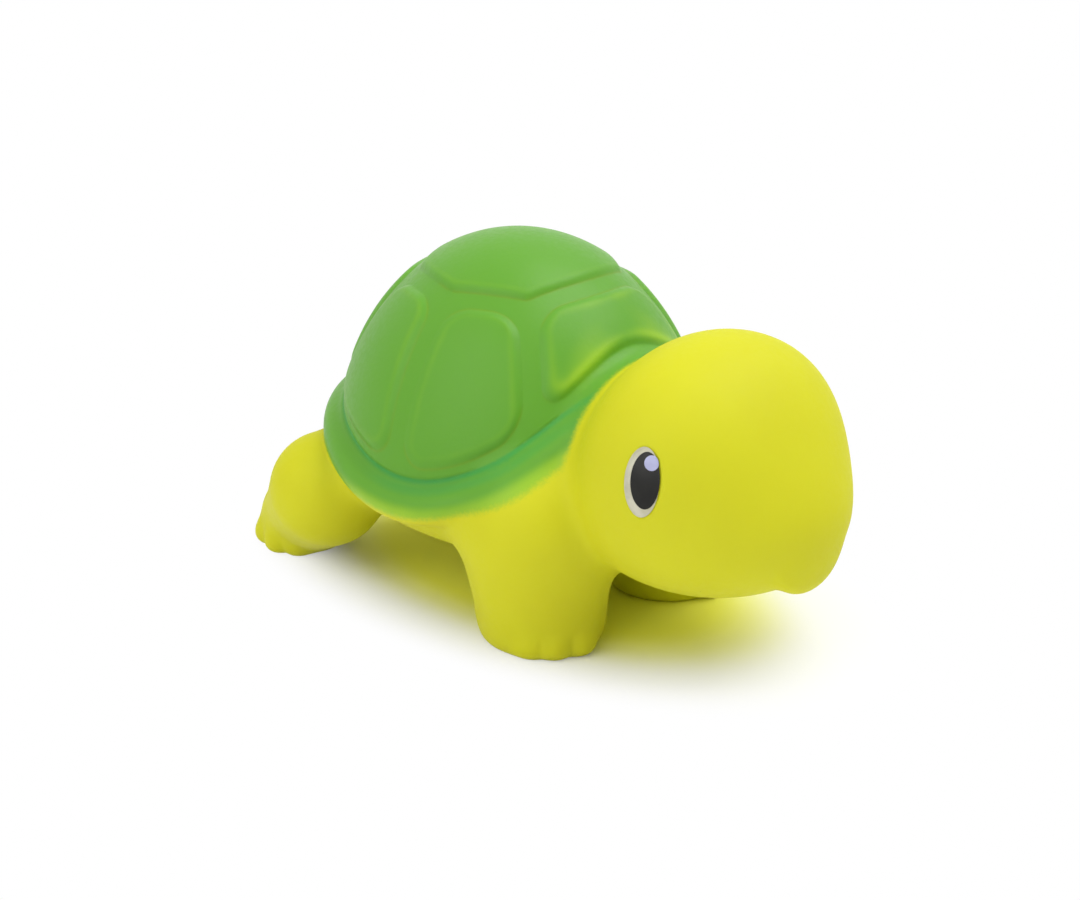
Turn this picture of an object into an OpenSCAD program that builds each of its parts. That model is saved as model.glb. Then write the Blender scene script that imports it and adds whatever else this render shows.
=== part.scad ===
// Squeaky bath toy: a hollow, soft, one-piece turtle with a squeaker pressed into its belly.
// +X is forward, +Y is the turtle's left and +Z is up. z = 0 is the floor under the feet.
// Places along X are measured from the middle of the toy's length.
// The skin is one smooth surface: its masses are ellipsoids and tapered limbs that blend
// into each other, and a net of points is laid over the place where their distance is zero.

/* [Skin] */
// Thickness of the cast skin
wall = 2.4; // [2:0.1:2.8]
// Spacing of the net over the outside
net_step = 3.5; // [3.4:0.1:3.8]
// Spacing of the net over the inside
inner_step = 4.6; // [4.4:0.1:5]

/* [Shell] */
// Length of the dome
dome_len = 67; // [64.5:0.5:69.5]
// Width of the dome
dome_wid = 62.5; // [60.5:0.5:64.5]
// Rise of the dome above its widest line
dome_rise = 40.2; // [38.8:0.2:41.6]
// Height of the dome's widest line above the floor
dome_z = 22.8; // [22.2:0.2:23.4]
// Place of the dome's middle along the toy
dome_x = -10.8; // [-11.4:0.2:-10.2]
// Height of the groove above the floor at the sides
groove_side_z = 28.1; // [27.5:0.2:28.7]
// Height of the groove behind the head
groove_front_z = 47.5; // [46.5:0.2:48.5]
// Height of the groove above the tail
groove_rear_z = 35.6; // [34.6:0.2:36.6]
// How far the rolled rim stands out of the dome
rim_out = 2.8; // [2.2:0.1:3.2]
// Height of the rolled rim
rim_tall = 8.6; // [7.8:0.2:9.4]
// Width of the rolled rim's section
rim_deep = 8.4; // [7.6:0.2:9]

/* [Plates] */
// Rise of a plate above the valleys between plates
plate_rise = 0.9; // [0.6:0.1:1.1]
// Width of the flank that leads up to a plate's top
plate_flank = 1.9; // [1.5:0.1:2.2]
// Width of the valleys between plates
valley_wid = 3.2; // [2.6:0.2:3.6]
// Corner radius of a plate
plate_corner = 4.5; // [3.5:0.5:5.5]
// Distance from the lower edge of a plate to the groove
plate_margin = 1.7; // [1.3:0.1:2]

/* [Head] */
// Length of the crown
crown_len = 34.6; // [33.4:0.2:35.8]
// Width of the crown
crown_wid = 46.2; // [45.2:0.2:47.2]
// Height of the crown
crown_tall = 36; // [35.2:0.2:36.8]
// Place of the crown's middle along the toy
crown_x = 33.9; // [33.3:0.2:34.5]
// Height of the crown's middle
crown_z = 37.4; // [36.8:0.2:38]
// Length of the muzzle and cheeks
muzzle_len = 53; // [52:0.5:54]
// Width of the muzzle and cheeks
muzzle_wid = 40; // [39.2:0.2:40.8]
// Height of the muzzle and cheeks
muzzle_tall = 28.8; // [28:0.2:29.6]
// Place of the muzzle's middle along the toy
muzzle_x = 30.5; // [29.9:0.2:31.1]
// Height of the muzzle's middle
muzzle_z = 27.1; // [26.5:0.2:27.7]
// Length of the beak under the muzzle
beak_len = 4.6; // [4.2:0.2:5]
// Width of the beak
beak_wid = 12.8; // [12.2:0.2:13.4]
// Height of the beak
beak_tall = 9.2; // [8.8:0.2:9.6]
// Place of the beak along the toy
beak_x = 53.6; // [53.2:0.2:54]
// Height of the beak's middle
beak_z = 21.8; // [21.4:0.2:22.2]

/* [Body] */
// Length of the belly
belly_len = 70; // [68:0.5:72]
// Width of the belly
belly_wid = 55; // [54:0.5:56]
// Height of the belly
belly_tall = 26; // [25:0.5:27]
// Place of the belly's middle along the toy
belly_x = -11.2; // [-11.8:0.2:-10.6]
// Height of the belly's middle
belly_z = 21.6; // [21:0.2:22.2]
// Length of the neck
neck_len = 32; // [31:0.5:33]
// Width of the neck
neck_wid = 36; // [35:0.5:37]
// Height of the neck
neck_tall = 34; // [33:0.5:35]
// Place of the neck's middle along the toy
neck_x = 15.8; // [15.2:0.2:16.4]
// Height of the neck's middle
neck_z = 30; // [29.4:0.2:30.6]
// Length of the tail stub behind the body
tail_len = 4.5; // [3.5:0.5:5]
// Radius of the tail stub
tail_r = 4.2; // [3.8:0.2:4.6]
// Height of the tail
tail_z = 20; // [19:0.5:21]

/* [Legs] */
// Place of the front feet along the toy
front_foot_x = 9.2; // [8.6:0.2:9.8]
// Distance from the middle plane to the front feet
front_foot_y = 15.7; // [15.1:0.2:16.3]
// Radius of the front legs at the ankle
front_ankle_r = 10.6; // [10.2:0.1:11]
// Radius of the front legs at the shoulder
shoulder_r = 13.9; // [13.5:0.1:14.3]
// Place of the shoulders along the toy
shoulder_x = 10.4; // [10:0.2:10.8]
// Distance from the middle plane to the shoulders
shoulder_y = 17; // [16.7:0.1:17.3]
// Height of the shoulders
shoulder_z = 22; // [21.6:0.2:22.4]
// Length of the front feet
front_foot_len = 21; // [20.4:0.2:21.6]
// Width of the front feet
front_foot_wid = 16.4; // [15.8:0.2:17]
// Place of the rear feet along the toy
rear_foot_x = -49.8; // [-50.4:0.2:-49.2]
// Distance from the middle plane to the rear feet
rear_foot_y = 17.4; // [16.8:0.2:18]
// Radius of the rear legs at the ankle
rear_ankle_r = 7.8; // [7.5:0.1:8.1]
// Radius of the rear legs at the hip
hip_r = 10.4; // [10:0.1:10.8]
// Place of the hips along the toy
hip_x = -36.2; // [-36.8:0.2:-35.6]
// Distance from the middle plane to the hips
hip_y = 23.4; // [22.8:0.2:24]
// Height of the hips
hip_z = 15.8; // [15.4:0.2:16.2]
// Length of the rear feet
rear_foot_len = 13.4; // [12.8:0.2:14]
// Width of the rear feet
rear_foot_wid = 15.2; // [14.6:0.2:15.8]
// Height of the swell of a foot above the floor
foot_tall = 12; // [11.4:0.2:12.6]
// Radius of a toe
toe_r = 2.5; // [2.2:0.1:2.8]
// How far a toe reaches in front of its foot
toe_reach = 2.4; // [2:0.1:2.8]

/* [Eyes] */
// Width of the white of an eye
white_wid = 5.9; // [5.4:0.1:6.4]
// Height of the white of an eye
white_tall = 11.3; // [10.8:0.1:11.8]
// Width of a pupil
pupil_wid = 4.6; // [4.2:0.1:4.8]
// Height of a pupil
pupil_tall = 9; // [8.4:0.1:9.4]
// Diameter of the highlight
glint_d = 2.4; // [2:0.1:2.6]
// Place of the eyes along the toy
eye_x = 38.9; // [38.3:0.2:39.5]
// Height of the eyes
eye_z = 38.2; // [37.6:0.2:38.8]
// Depth of the moulded recess that the white fills
eye_recess = 0.6; // [0.5:0.05:0.7]
// Thickness of a printed layer
print_t = 0.3; // [0.25:0.05:0.35]
// Gap round each printed layer
print_gap = 0.03; // [0.02:0.01:0.05]

/* [Squeaker] */
// Place of the squeaker along the toy
squeaker_x = -12; // [-13:0.5:-11]
// Radius of the flange seen from below
flange_r = 9; // [8.6:0.1:9.4]
// Thickness of the flange
flange_t = 1.2; // [1:0.1:1.4]
// Radius of the neck that the belly's hole closes on
plug_neck_r = 6.6; // [6.4:0.1:6.8]
// How far the barb stands out of the neck
barb_out = 0.9; // [0.7:0.1:1.1]
// Height of the barb
barb_tall = 2.4; // [2:0.2:2.8]
// Height of the tube above the barb
tube_tall = 9; // [8.5:0.5:10]
// Radius of the bore that holds the reed block
bore_r = 4.4; // [4.2:0.1:4.6]
// Radius of the air hole in the flange
air_hole_r = 2.2; // [2:0.1:2.4]
// Length of the part of the reed that is clamped
reed_root = 3; // [2.8:0.2:3.4]
// Length of the part of the reed that beats
reed_free = 8; // [7.5:0.5:8.5]
// Width of the reed
reed_wid = 4.4; // [4:0.2:4.8]
// Thickness of the reed
reed_t = 0.3; // [0.25:0.05:0.35]
// Gap on each face of the reed's clamped root
reed_gap = 0.12; // [0.1:0.01:0.14]
// Opening between the reed's tip and the block at rest
reed_lift = 0.5; // [0.45:0.05:0.6]
// Radius of the air channel under the reed
channel_r = 1.5; // [1.3:0.1:1.6]
// Gap between the pieces pressed into the bore
press_gap = 0.04; // [0.03:0.01:0.06]

/* [Hidden] */

skin_yellow = [0.84, 0.83, 0.2];
shell_green = [0.45, 0.72, 0.3];
print_white = [0.88, 0.87, 0.78];
print_black = [0.12, 0.12, 0.1];
print_lavender = [0.7, 0.7, 0.85];
squeaker_white = [0.93, 0.93, 0.9];
strip_clear = [0.85, 0.86, 0.88];

// Blend widths between the masses of the skin
belly_blend = 8;
leg_blend = 5;
head_blend = 4;
muzzle_blend = 12;
beak_blend = 3;
foot_blend = 4;
sole_blend = 2;
core_blend = 8;
// The body under the dome and the rim lies this far inside the dome
core_inset = 0.6;
core_z = 21;
// The wall is this much thicker at the end of a leg
sole_extra = 0.8;
// The feet are modelled this much too long and then cut flat
sole_cut = 0.6;
overrun = 1;
// Middle and full height of a foot's swell, and heights of the ankles
foot_middle_share = 0.33;
foot_swell_share = 1.1;
front_ankle_share = 0.41;
rear_ankle_share = 0.73;
// Depth of the crease between the dome and the rim
groove_deep = 0.35;
// Share of a straight hexagon side that the plates' sides follow; the rest is round
side_straight_share = 0.5;
// Directions of the valleys, and height of the top plate's corners, as angles on the dome
valley_angles = [-138, -88.5, -43, 43, 88.5, 138];
top_plate_angle = 55;
// Thickened seat inside the belly that the squeaker closes on
seat_r = flange_r + wall;
// Depth of the lowest point of the belly under the flange's face
flange_sink = 0.2;
// Middle of the pupil and of the highlight, from the middle of the eye
pupil_ahead = 0.6;
pupil_up = 0.35;
glint_ahead = 1.15;
glint_up = 3.3;
eye_turn = 21;
eye_tip = 12.5;
// Directions in which the toes of a foot point
front_toes = [-60, -36, -6];
rear_toes = [-127, -84, -51];
toe_rise_share = 0.86;
patch_sides = 24;
patch_rings = 2;
// Sides of the round forms
toe_fn = 12;
leg_fn = 14;
channel_fn = 32;
hole_fn = 48;
plug_fn = 64;

// Smooth blends, and distances to an ellipsoid and a tapered limb

function smin(a, b, k) = let(h = max(k - abs(a - b), 0) / k) min(a, b) - h * h * k / 4;
function smax(a, b, k) = -smin(-a, -b, k);
function over(v, w) = [v[0] / w[0], v[1] / w[1], v[2] / w[2]];
function ellipsoid_gap(p, c, r) =
    let(q = over(p - c, r), k0 = norm(q), k1 = norm(over(q, r))) k0 * (k0 - 1) / max(k1, 1e-6);
function limb_gap(p, a, b, ra, rb) =
    let(ba = b - a, h = min(max((p - a) * ba / (ba * ba), 0), 1))
    norm(p - a - h * ba) - (ra + (rb - ra) * h);

// The masses of the body, for a point whose y has been mirrored to the positive side

dome_c = [dome_x, 0, dome_z];
dome_r = [dome_len, dome_wid, 2 * dome_rise] / 2;
groove_wave = (groove_front_z - groove_rear_z) / 2;
groove_lift = (groove_front_z + groove_rear_z) / 2 - groove_side_z;
function groove_z(t) =
    groove_side_z + groove_wave * (cos(3 * t) + 2 * cos(t)) / 3 + groove_lift * cos(t) * cos(t);

function foot_gap(p, x, y, len, wid) =
    ellipsoid_gap(p, [x, y, foot_middle_share * foot_tall],
                  [len, wid, foot_swell_share * foot_tall] / 2);
function front_leg_gap(p) =
    smin(limb_gap(p, [shoulder_x, shoulder_y, shoulder_z],
                  [(shoulder_x + front_foot_x) / 2, front_foot_y, front_ankle_r * front_ankle_share],
                  shoulder_r, front_ankle_r),
         foot_gap(p, front_foot_x, front_foot_y, front_foot_len, front_foot_wid), foot_blend);
function rear_leg_gap(p) =
    smin(limb_gap(p, [hip_x, hip_y, hip_z],
                  [rear_foot_x, rear_foot_y, rear_ankle_r * rear_ankle_share],
                  hip_r, rear_ankle_r),
         foot_gap(p, rear_foot_x, rear_foot_y, rear_foot_len, rear_foot_wid), foot_blend);
function head_gap(p) =
    let(crown = ellipsoid_gap(p, [crown_x, 0, crown_z], [crown_len, crown_wid, crown_tall] / 2),
        muzzle = ellipsoid_gap(p, [muzzle_x, 0, muzzle_z], [muzzle_len, muzzle_wid, muzzle_tall] / 2),
        beak = ellipsoid_gap(p, [beak_x, 0, beak_z], [beak_len, beak_wid, beak_tall] / 2))
    smin(smin(crown, muzzle, muzzle_blend), beak, beak_blend);
tail_tip = [dome_x - dome_len / 2 - tail_len + tail_r / 2, 0, tail_z];
function trunk_gap(p) =
    let(belly = ellipsoid_gap(p, [belly_x, 0, belly_z], [belly_len, belly_wid, belly_tall] / 2),
        core = smax(ellipsoid_gap(p, dome_c, dome_r) + core_inset, core_z - p[2], core_blend),
        neck = ellipsoid_gap(p, [neck_x, 0, neck_z], [neck_len, neck_wid, neck_tall] / 2),
        tail = limb_gap(p, [dome_x - dome_len / 4, 0, tail_z], tail_tip, tail_r * 2, tail_r / 2))
    smin(smin(smin(belly, core, belly_blend), neck, belly_blend), tail, foot_blend);
function skin_gap(q) =
    let(p = [q[0], abs(q[1]), q[2]],
        legs = smax(min(front_leg_gap(p), rear_leg_gap(p)), -sole_cut - p[2], sole_blend))
    smin(smin(trunk_gap(p), legs, leg_blend), head_gap(p), head_blend);
// The hollow follows the trunk and the head at the wall's thickness
function hollow_gap(q) =
    let(p = [q[0], abs(q[1]), q[2]]) smin(trunk_gap(p), head_gap(p), leg_blend) + wall - core_inset;

// Where a distance changes less than this with the place, its slope isn't trusted
flat_slope = 0.2;

// A net over the surface where a distance is zero. Each cell that the surface crosses holds
// one point, and each edge of the grid that it crosses is covered by four of those points.

box_min = [rear_foot_x - rear_foot_len / 2 - toe_r - overrun,
           -dome_wid / 2 - 2 * overrun - rim_out, -sole_cut - overrun];
box_max = [muzzle_x + muzzle_len / 2 + toe_r, -box_min[1], dome_z + dome_rise + 2 * overrun];

function crossed(g, b, s) = (g[b] < 0) != (g[b + s] < 0);
function settle(p, kind, e, n) = n == 0 ? p :
    let(d = gap(p, kind), s = [for (a = [[e, 0, 0], [0, e, 0], [0, 0, e]]) gap(p + a, kind) - d] / e)
    settle(p - s * d / max(s * s, flat_slope), kind, e, n - 1);
function gap(p, kind) = kind == "skin" ? skin_gap(p) : hollow_gap(p);

module net(kind, step) {
    n = [for (a = [0 : 2]) ceil((box_max[a] - box_min[a]) / step)];
    low = [box_min[0], -n[1] * step / 2, box_min[2]];
    sx = (n[1] + 1) * (n[2] + 1);
    sy = n[2] + 1;
    g = [for (i = [0 : n[0]], j = [0 : n[1]], k = [0 : n[2]]) gap(low + step * [i, j, k], kind)];
    corners = [0, 1, sy, sy + 1, sx, sx + 1, sx + sy, sx + sy + 1];
    last = [n[0] - 1, n[1] - 1, n[2] - 1];
    live = [for (i = [0 : n[0]], j = [0 : n[1]], k = [0 : n[2]])
        let(b = i * sx + j * sy + k)
        i > last[0] || j > last[1] || k > last[2] ? false :
        let(c = [for (o = corners) if (g[b + o] < 0) 1]) len(c) > 0 && len(c) < 8];
    id = [for (b = 0, c = 0; b < len(live); c = c + (live[b] ? 1 : 0), b = b + 1) c];
    points = [for (i = [0 : n[0]], j = [0 : n[1]], k = [0 : n[2]])
        let(b = i * sx + j * sy + k)
        if (live[b]) settle(cell_middle(g, b, sx, sy, low, step, [i, j, k]), kind, step / 8, 2)];
    faces = [for (i = [0 : last[0]], j = [0 : last[1]], k = [0 : last[2]])
        let(b = i * sx + j * sy + k)
        each [if (j > 0 && k > 0 && crossed(g, b, sx)) quad(id, b, sy, 1, g[b] >= 0),
              if (i > 0 && k > 0 && crossed(g, b, sy)) quad(id, b, 1, sx, g[b] >= 0),
              if (i > 0 && j > 0 && crossed(g, b, 1)) quad(id, b, sx, sy, g[b] >= 0)]];
    polyhedron(points, [for (f = faces) each cut_quad(f, points)]);
}
function cell_middle(g, b, sx, sy, low, step, at) =
    let(edges = [for (i = [0, 1], j = [0, 1]) each [
            let(c = b + i * sy + j) if (crossed(g, c, sx)) [g[c] / (g[c] - g[c + sx]), i, j],
            let(c = b + i * sx + j) if (crossed(g, c, sy)) [i, g[c] / (g[c] - g[c + sy]), j],
            let(c = b + i * sx + j * sy) if (crossed(g, c, 1)) [i, j, g[c] / (g[c] - g[c + 1])]]],
        sum = [for (e = edges) 1] * edges)
    low + step * (at + sum / len(edges));
function quad(id, b, s, t, inward) =
    let(f = [id[b], id[b - s], id[b - s - t], id[b - t]]) inward ? f : [f[3], f[2], f[1], f[0]];
function cut_quad(f, p) =
    norm(p[f[0]] - p[f[2]]) < norm(p[f[1]] - p[f[3]])
        ? [[f[0], f[1], f[2]], [f[0], f[2], f[3]]] : [[f[0], f[1], f[3]], [f[1], f[2], f[3]]];

// The dome with its plates, the groove and the rolled rim, as rings of points. Angles t go
// round the dome and angles u go up it. A sector is the stretch between two valleys.

v_half = valley_wid / 2;
side_steps = [0, v_half, v_half + plate_flank / 2, v_half + plate_flank];
sectors = len(valley_angles);
sector_cols = 9;
plate_rows = 11;
top_rows = 7;
dome_mean_r = (dome_len + dome_wid) / 4;
dome_up_r = (dome_mean_r + dome_rise) / 2;
deg = 180 / PI;
rim_angles = [60, 42, 24, 6, -12, -32, -54, -78, -105];

function sector_start(s) = valley_angles[s];
function sector_end(s) = s < sectors - 1 ? valley_angles[s + 1] : valley_angles[0] + 360;
// Distance along a line of length l, for step k of n, with the close steps near and far
// at its two ends
function spaced(k, n, l, near, far) =
    k < len(near) ? near[k] :
    k > n - len(far) ? l - far[n - k] :
    let(a = near[len(near) - 1], b = l - far[len(far) - 1])
    a + (b - a) * (k - len(near) + 1) / (n - len(near) - len(far) + 2);
// Height angle of the top plate's outline in direction t
function top_edge(s, t) =
    let(m = (sector_start(s) + sector_end(s)) / 2, h = (sector_end(s) - sector_start(s)) / 2,
        pull = 1 - side_straight_share * (1 - cos(h) / cos(t - m)))
    90 - 2 * atan(tan((90 - top_plate_angle) / 2) * pull);
function low_edge(t) = asin((groove_z(t) - dome_z) / dome_rise);
// Height of the surface at distances a, b and c past the edges of a plate
function plate_height(a, b) =
    let(qa = max(plate_corner - a, 0), qb = max(plate_corner - b, 0),
        d = plate_corner - sqrt(qa * qa + qb * qb), f = min(max(d / plate_flank, 0), 1))
    a <= 0 || b <= 0 ? 0 : plate_rise * sin(90 * f);
function dome_point(t, u, h) =
    let(w = [cos(u) * cos(t), cos(u) * sin(t), sin(u)], n = over(w, dome_r))
    [dome_c[0] + dome_r[0] * w[0], dome_r[1] * w[1], dome_c[2] + dome_r[2] * w[2]] + h * n / norm(n);
function column_turn(s, k, u) =
    let(span = sector_end(s) - sector_start(s), l = span / deg * dome_mean_r * cos(u))
    spaced(k, sector_cols, l, side_steps, side_steps);
function column_angle(s, k, u) =
    sector_start(s) + column_turn(s, k, u) / (dome_mean_r * cos(u)) * deg;
// Half-width of the dome in direction t at height z
function dome_reach(t, z) =
    sqrt(1 - pow((z - dome_z) / dome_rise, 2)) / norm([cos(t) / dome_r[0], sin(t) / dome_r[1]]);
function rim_point(t, a) =
    let(c = groove_z(t) - rim_tall / 2, z = c + rim_tall / 2 * sin(a),
        out = dome_reach(t, c) + rim_out - rim_deep / 2 + rim_deep / 2 * cos(a),
        r = a > 0 ? max(out, dome_reach(t, z) - groove_deep) : out)
    [dome_x + r * cos(t), r * sin(t), z];
function tuck_point(t) =
    let(r = dome_reach(t, groove_z(t)) - rim_deep)
    [dome_x + r * cos(t), r * sin(t), groove_z(t) - rim_tall / 2];

// A ring of points round the top plate, and a row of points across the plates below it
function top_row(r, s, k) =
    let(t = column_angle(s, k, top_edge(s, sector_start(s))),
        u0 = top_edge(s, t), l = (90 - u0) / deg * dome_up_r, n = len(side_steps),
        a = side_steps[n - 1],
        d = r < n ? side_steps[r] : a + (l - a) * (r - n + 1) / (top_rows - n + 1))
    dome_point(t, u0 + d / dome_up_r * deg, plate_height(d - v_half, plate_corner));
function plate_row(r, s, k) =
    let(t0 = column_angle(s, k, top_edge(s, sector_start(s))),
        u0 = top_edge(s, t0), u1 = low_edge(t0), l = (u0 - u1) / deg * dome_up_r,
        low_steps = [0, plate_margin, plate_margin + plate_flank / 2, plate_margin + plate_flank],
        d = spaced(r, plate_rows, l, side_steps, low_steps),
        u = u0 - d / dome_up_r * deg, t = column_angle(s, k, u), turn = column_turn(s, k, u),
        across = (sector_end(s) - sector_start(s)) / deg * dome_mean_r * cos(u),
        side = min(turn, across - turn) - v_half, ends = min(d - v_half, l - d - plate_margin))
    dome_point(t, r == plate_rows ? low_edge(t) : u,
               r == plate_rows ? -groove_deep : plate_height(side, ends));

module carapace() {
    cols = sectors * sector_cols;
    at = [for (s = [0 : sectors - 1], k = [0 : sector_cols - 1]) [s, k]];
    rings = concat(
        [for (r = [top_rows - 1 : -1 : 1]) [for (c = at) top_row(r, c[0], c[1])]],
        [for (r = [0 : plate_rows]) [for (c = at) plate_row(r, c[0], c[1])]],
        [for (a = rim_angles) [for (c = at) rim_point(column_angle(c[0], c[1], 0), a)]],
        [[for (c = at) tuck_point(column_angle(c[0], c[1], 0))]]);
    points = concat([dome_point(0, 90, plate_rise)], [for (r = rings) each r],
                    [[dome_x, 0, groove_side_z - rim_tall / 2]]);
    lowest = len(points) - 1;
    faces = concat(
        [for (c = [0 : cols - 1]) [0, 1 + (c + 1) % cols, 1 + c]],
        [for (r = [0 : len(rings) - 2], c = [0 : cols - 1])
            let(a = 1 + r * cols + c, b = 1 + r * cols + (c + 1) % cols)
            each cut_quad([a, b, b + cols, a + cols], points)],
        [for (c = [0 : cols - 1]) [lowest, lowest - cols + c, lowest - cols + (c + 1) % cols]]);
    polyhedron(points, faces);
}

// A patch of the head's surface inside an oval, between two depths below the skin

eye_out = [sin(eye_turn) * cos(eye_tip), cos(eye_turn) * cos(eye_tip), sin(eye_tip)];
eye_ahead = [cos(eye_turn), -sin(eye_turn), 0];
eye_up = cross(eye_ahead, eye_out);
eye_c = onto_skin([eye_x, crown_wid / 2, eye_z], 8);
function onto_skin(p, n) = n == 0 ? p : onto_skin(p - eye_out * skin_gap(p), n - 1);

module skin_patch(wid, tall, ahead, up, deep, proud) {
    plan = concat([[ahead, up]], [for (r = [1 : patch_rings], k = [0 : patch_sides - 1])
        let(f = r / patch_rings, a = 360 * k / patch_sides)
        [ahead + f * wid / 2 * cos(a), up + f * tall / 2 * sin(a)]]);
    face = [for (q = plan) onto_skin(eye_c + eye_ahead * q[0] + eye_up * q[1], 5)];
    n = len(plan);
    outer = [for (p = face) p + eye_out * proud];
    inner = [for (p = face) p - eye_out * deep];
    ring = function(r, k) 1 + (r - 1) * patch_sides + k % patch_sides;
    top = concat([for (k = [0 : patch_sides - 1]) [0, ring(1, k), ring(1, k + 1)]],
        [for (r = [1 : patch_rings - 1], k = [0 : patch_sides - 1])
            each [[ring(r, k + 1), ring(r, k), ring(r + 1, k + 1)],
                  [ring(r + 1, k + 1), ring(r, k), ring(r + 1, k)]]]);
    bottom = [for (f = top) [for (i = [2, 1, 0]) f[i] + n]];
    sides = [for (k = [0 : patch_sides - 1])
        let(a = ring(patch_rings, k), b = ring(patch_rings, k + 1))
        each [[b, a, b + n], [b + n, a, a + n]]];
    polyhedron(concat(outer, inner), concat(top, bottom, sides));
}
module both_sides() {
    children();
    mirror([0, 1, 0]) children();
}

// The belly's seat for the squeaker, and the levels of the squeaker's pieces

belly_low = belly_z - belly_tall / 2;
flange_low = belly_low + flange_sink;
seat_low = flange_low + flange_t;
seat_high = seat_low + wall;
barb_low = seat_high + press_gap;
tube_top = barb_low + barb_tall + tube_tall;
bore_low = seat_low;
tube_r = plug_neck_r - press_gap;

module toes(x, y, len, wid, angles) {
    for (a = angles) {
        foot = [x, y, 0] + [len / 2 * cos(a), -wid / 2 * sin(a), 0];
        out = [cos(a), -sin(a), 0];
        hull() {
            translate(foot + out * (toe_reach - toe_r) + [0, 0, toe_r * toe_rise_share])
                sphere(toe_r, $fn = toe_fn);
            translate(foot - out * 2 * toe_r + [0, 0, toe_r])
                sphere(toe_r * toe_rise_share, $fn = toe_fn);
        }
    }
}

// The hollow of a leg, from its root to just above the sole, where the wall is thicker
module leg_hollow(root, root_r, x, y, ankle_r) {
    hull() {
        translate(root) sphere(root_r - wall, $fn = leg_fn);
        translate([x, y, ankle_r - sole_extra]) sphere(ankle_r - wall - sole_extra, $fn = leg_fn);
    }
}

module body_skin() {
    color(skin_yellow) difference() {
        union() {
            net("skin", net_step);
            color(shell_green) carapace();
            both_sides() {
                toes(front_foot_x, front_foot_y, front_foot_len, front_foot_wid, front_toes);
                toes(rear_foot_x, rear_foot_y, rear_foot_len, rear_foot_wid, rear_toes);
            }
        }
        difference() {
            net("hollow", inner_step);
            translate([squeaker_x, 0, 0]) cylinder(seat_high, r = seat_r, $fn = channel_fn);
        }
        both_sides() {
            leg_hollow([shoulder_x, shoulder_y, shoulder_z], shoulder_r,
                       front_foot_x, front_foot_y, front_ankle_r);
            leg_hollow([hip_x, hip_y, hip_z], hip_r, rear_foot_x, rear_foot_y, rear_ankle_r);
        }
        translate([squeaker_x, 0, 0]) cylinder(seat_high + overrun, r = plug_neck_r, $fn = hole_fn);
        translate([squeaker_x, 0, 0]) cylinder(seat_low, r = flange_r + 2 * press_gap, $fn = hole_fn);
        both_sides() skin_patch(white_wid, white_tall, 0, 0, eye_recess, overrun);
        translate([box_min[0], box_min[1], -2 * overrun - sole_cut])
            cube([box_max[0] - box_min[0], box_max[1] - box_min[1], 2 * overrun + sole_cut]);
    }
}

module eye_whites() {
    color(print_white) both_sides()
        skin_patch(white_wid - 2 * print_gap, white_tall - 2 * print_gap, 0, 0,
                   eye_recess - print_gap, print_t - eye_recess);
}

module eye_pupils() {
    low = eye_recess - print_t - print_gap;
    color(print_black) both_sides()
        skin_patch(pupil_wid, pupil_tall, pupil_ahead, pupil_up, low, print_t - low);
}

module eye_glints() {
    low = eye_recess - 2 * print_t - 2 * print_gap;
    color(print_lavender) both_sides()
        skin_patch(glint_d, glint_d, glint_ahead, glint_up, low, print_t - low);
}

// Sets a piece of the squeaker in the belly, with the reed square to the toy's length
module in_belly() {
    translate([squeaker_x, 0, 0]) rotate([0, 0, 90]) children();
}

module squeaker_housing() {
    color(squeaker_white) in_belly() rotate_extrude($fn = plug_fn) polygon([
        [air_hole_r, flange_low], [flange_r, flange_low], [flange_r, seat_low - press_gap],
        [tube_r, seat_low - press_gap], [tube_r, barb_low],
        [tube_r + barb_out, barb_low], [tube_r + barb_out, barb_low + barb_tall / 3],
        [tube_r, barb_low + barb_tall], [tube_r, tube_top],
        [bore_r, tube_top], [bore_r, bore_low], [air_hole_r, bore_low]]);
}

// Half of the round plug that fills the bore, on the side of the reed that dir gives
module half_plug(dir, face, tall) {
    r = bore_r - press_gap;
    translate([0, 0, bore_low + press_gap]) intersection() {
        cylinder(tall, r = r, $fn = plug_fn);
        translate([-r, dir > 0 ? face : -r, 0]) cube([2 * r, r - face, tall]);
    }
}

module reed_block() {
    tall = reed_root + reed_free + reed_wid / 2;
    lay = reed_lift / reed_free;
    color(squeaker_white) in_belly() difference() {
        half_plug(-1, 0, tall);
        translate([0, 0, bore_low])
            cylinder(reed_root + reed_free - channel_r, r = channel_r, $fn = channel_fn);
        translate([0, 0, bore_low + reed_root]) rotate([0, -90, 0])
            linear_extrude(2 * bore_r + overrun, center = true)
                polygon([[0, overrun], [0, 0], [tall, -lay * tall], [tall, overrun]]);
    }
}

module reed_wedge() {
    color(squeaker_white) in_belly() half_plug(1, 2 * reed_gap + reed_t, reed_root);
}

module reed() {
    color(strip_clear) in_belly() translate([-reed_wid / 2, reed_gap, bore_low + 2 * press_gap])
        cube([reed_wid, reed_t, reed_root + reed_free - 2 * press_gap]);
}

body_skin();
eye_whites();
eye_pupils();
eye_glints();
squeaker_housing();
reed_block();
reed_wedge();
reed();
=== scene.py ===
"""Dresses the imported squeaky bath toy: a cast vinyl turtle with a sprayed shell, printed eyes
and a reed squeaker in its belly.

Lengths inside the classes are millimetres and angles are degrees; a mesh is scaled to metres
when it becomes a Blender object. +X is forward, +Y is the turtle's left, +Z is up.
"""

from __future__ import annotations

import logging
import math
import sys
from collections.abc import Callable
from dataclasses import dataclass, field
from enum import Enum
from typing import Any

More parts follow.
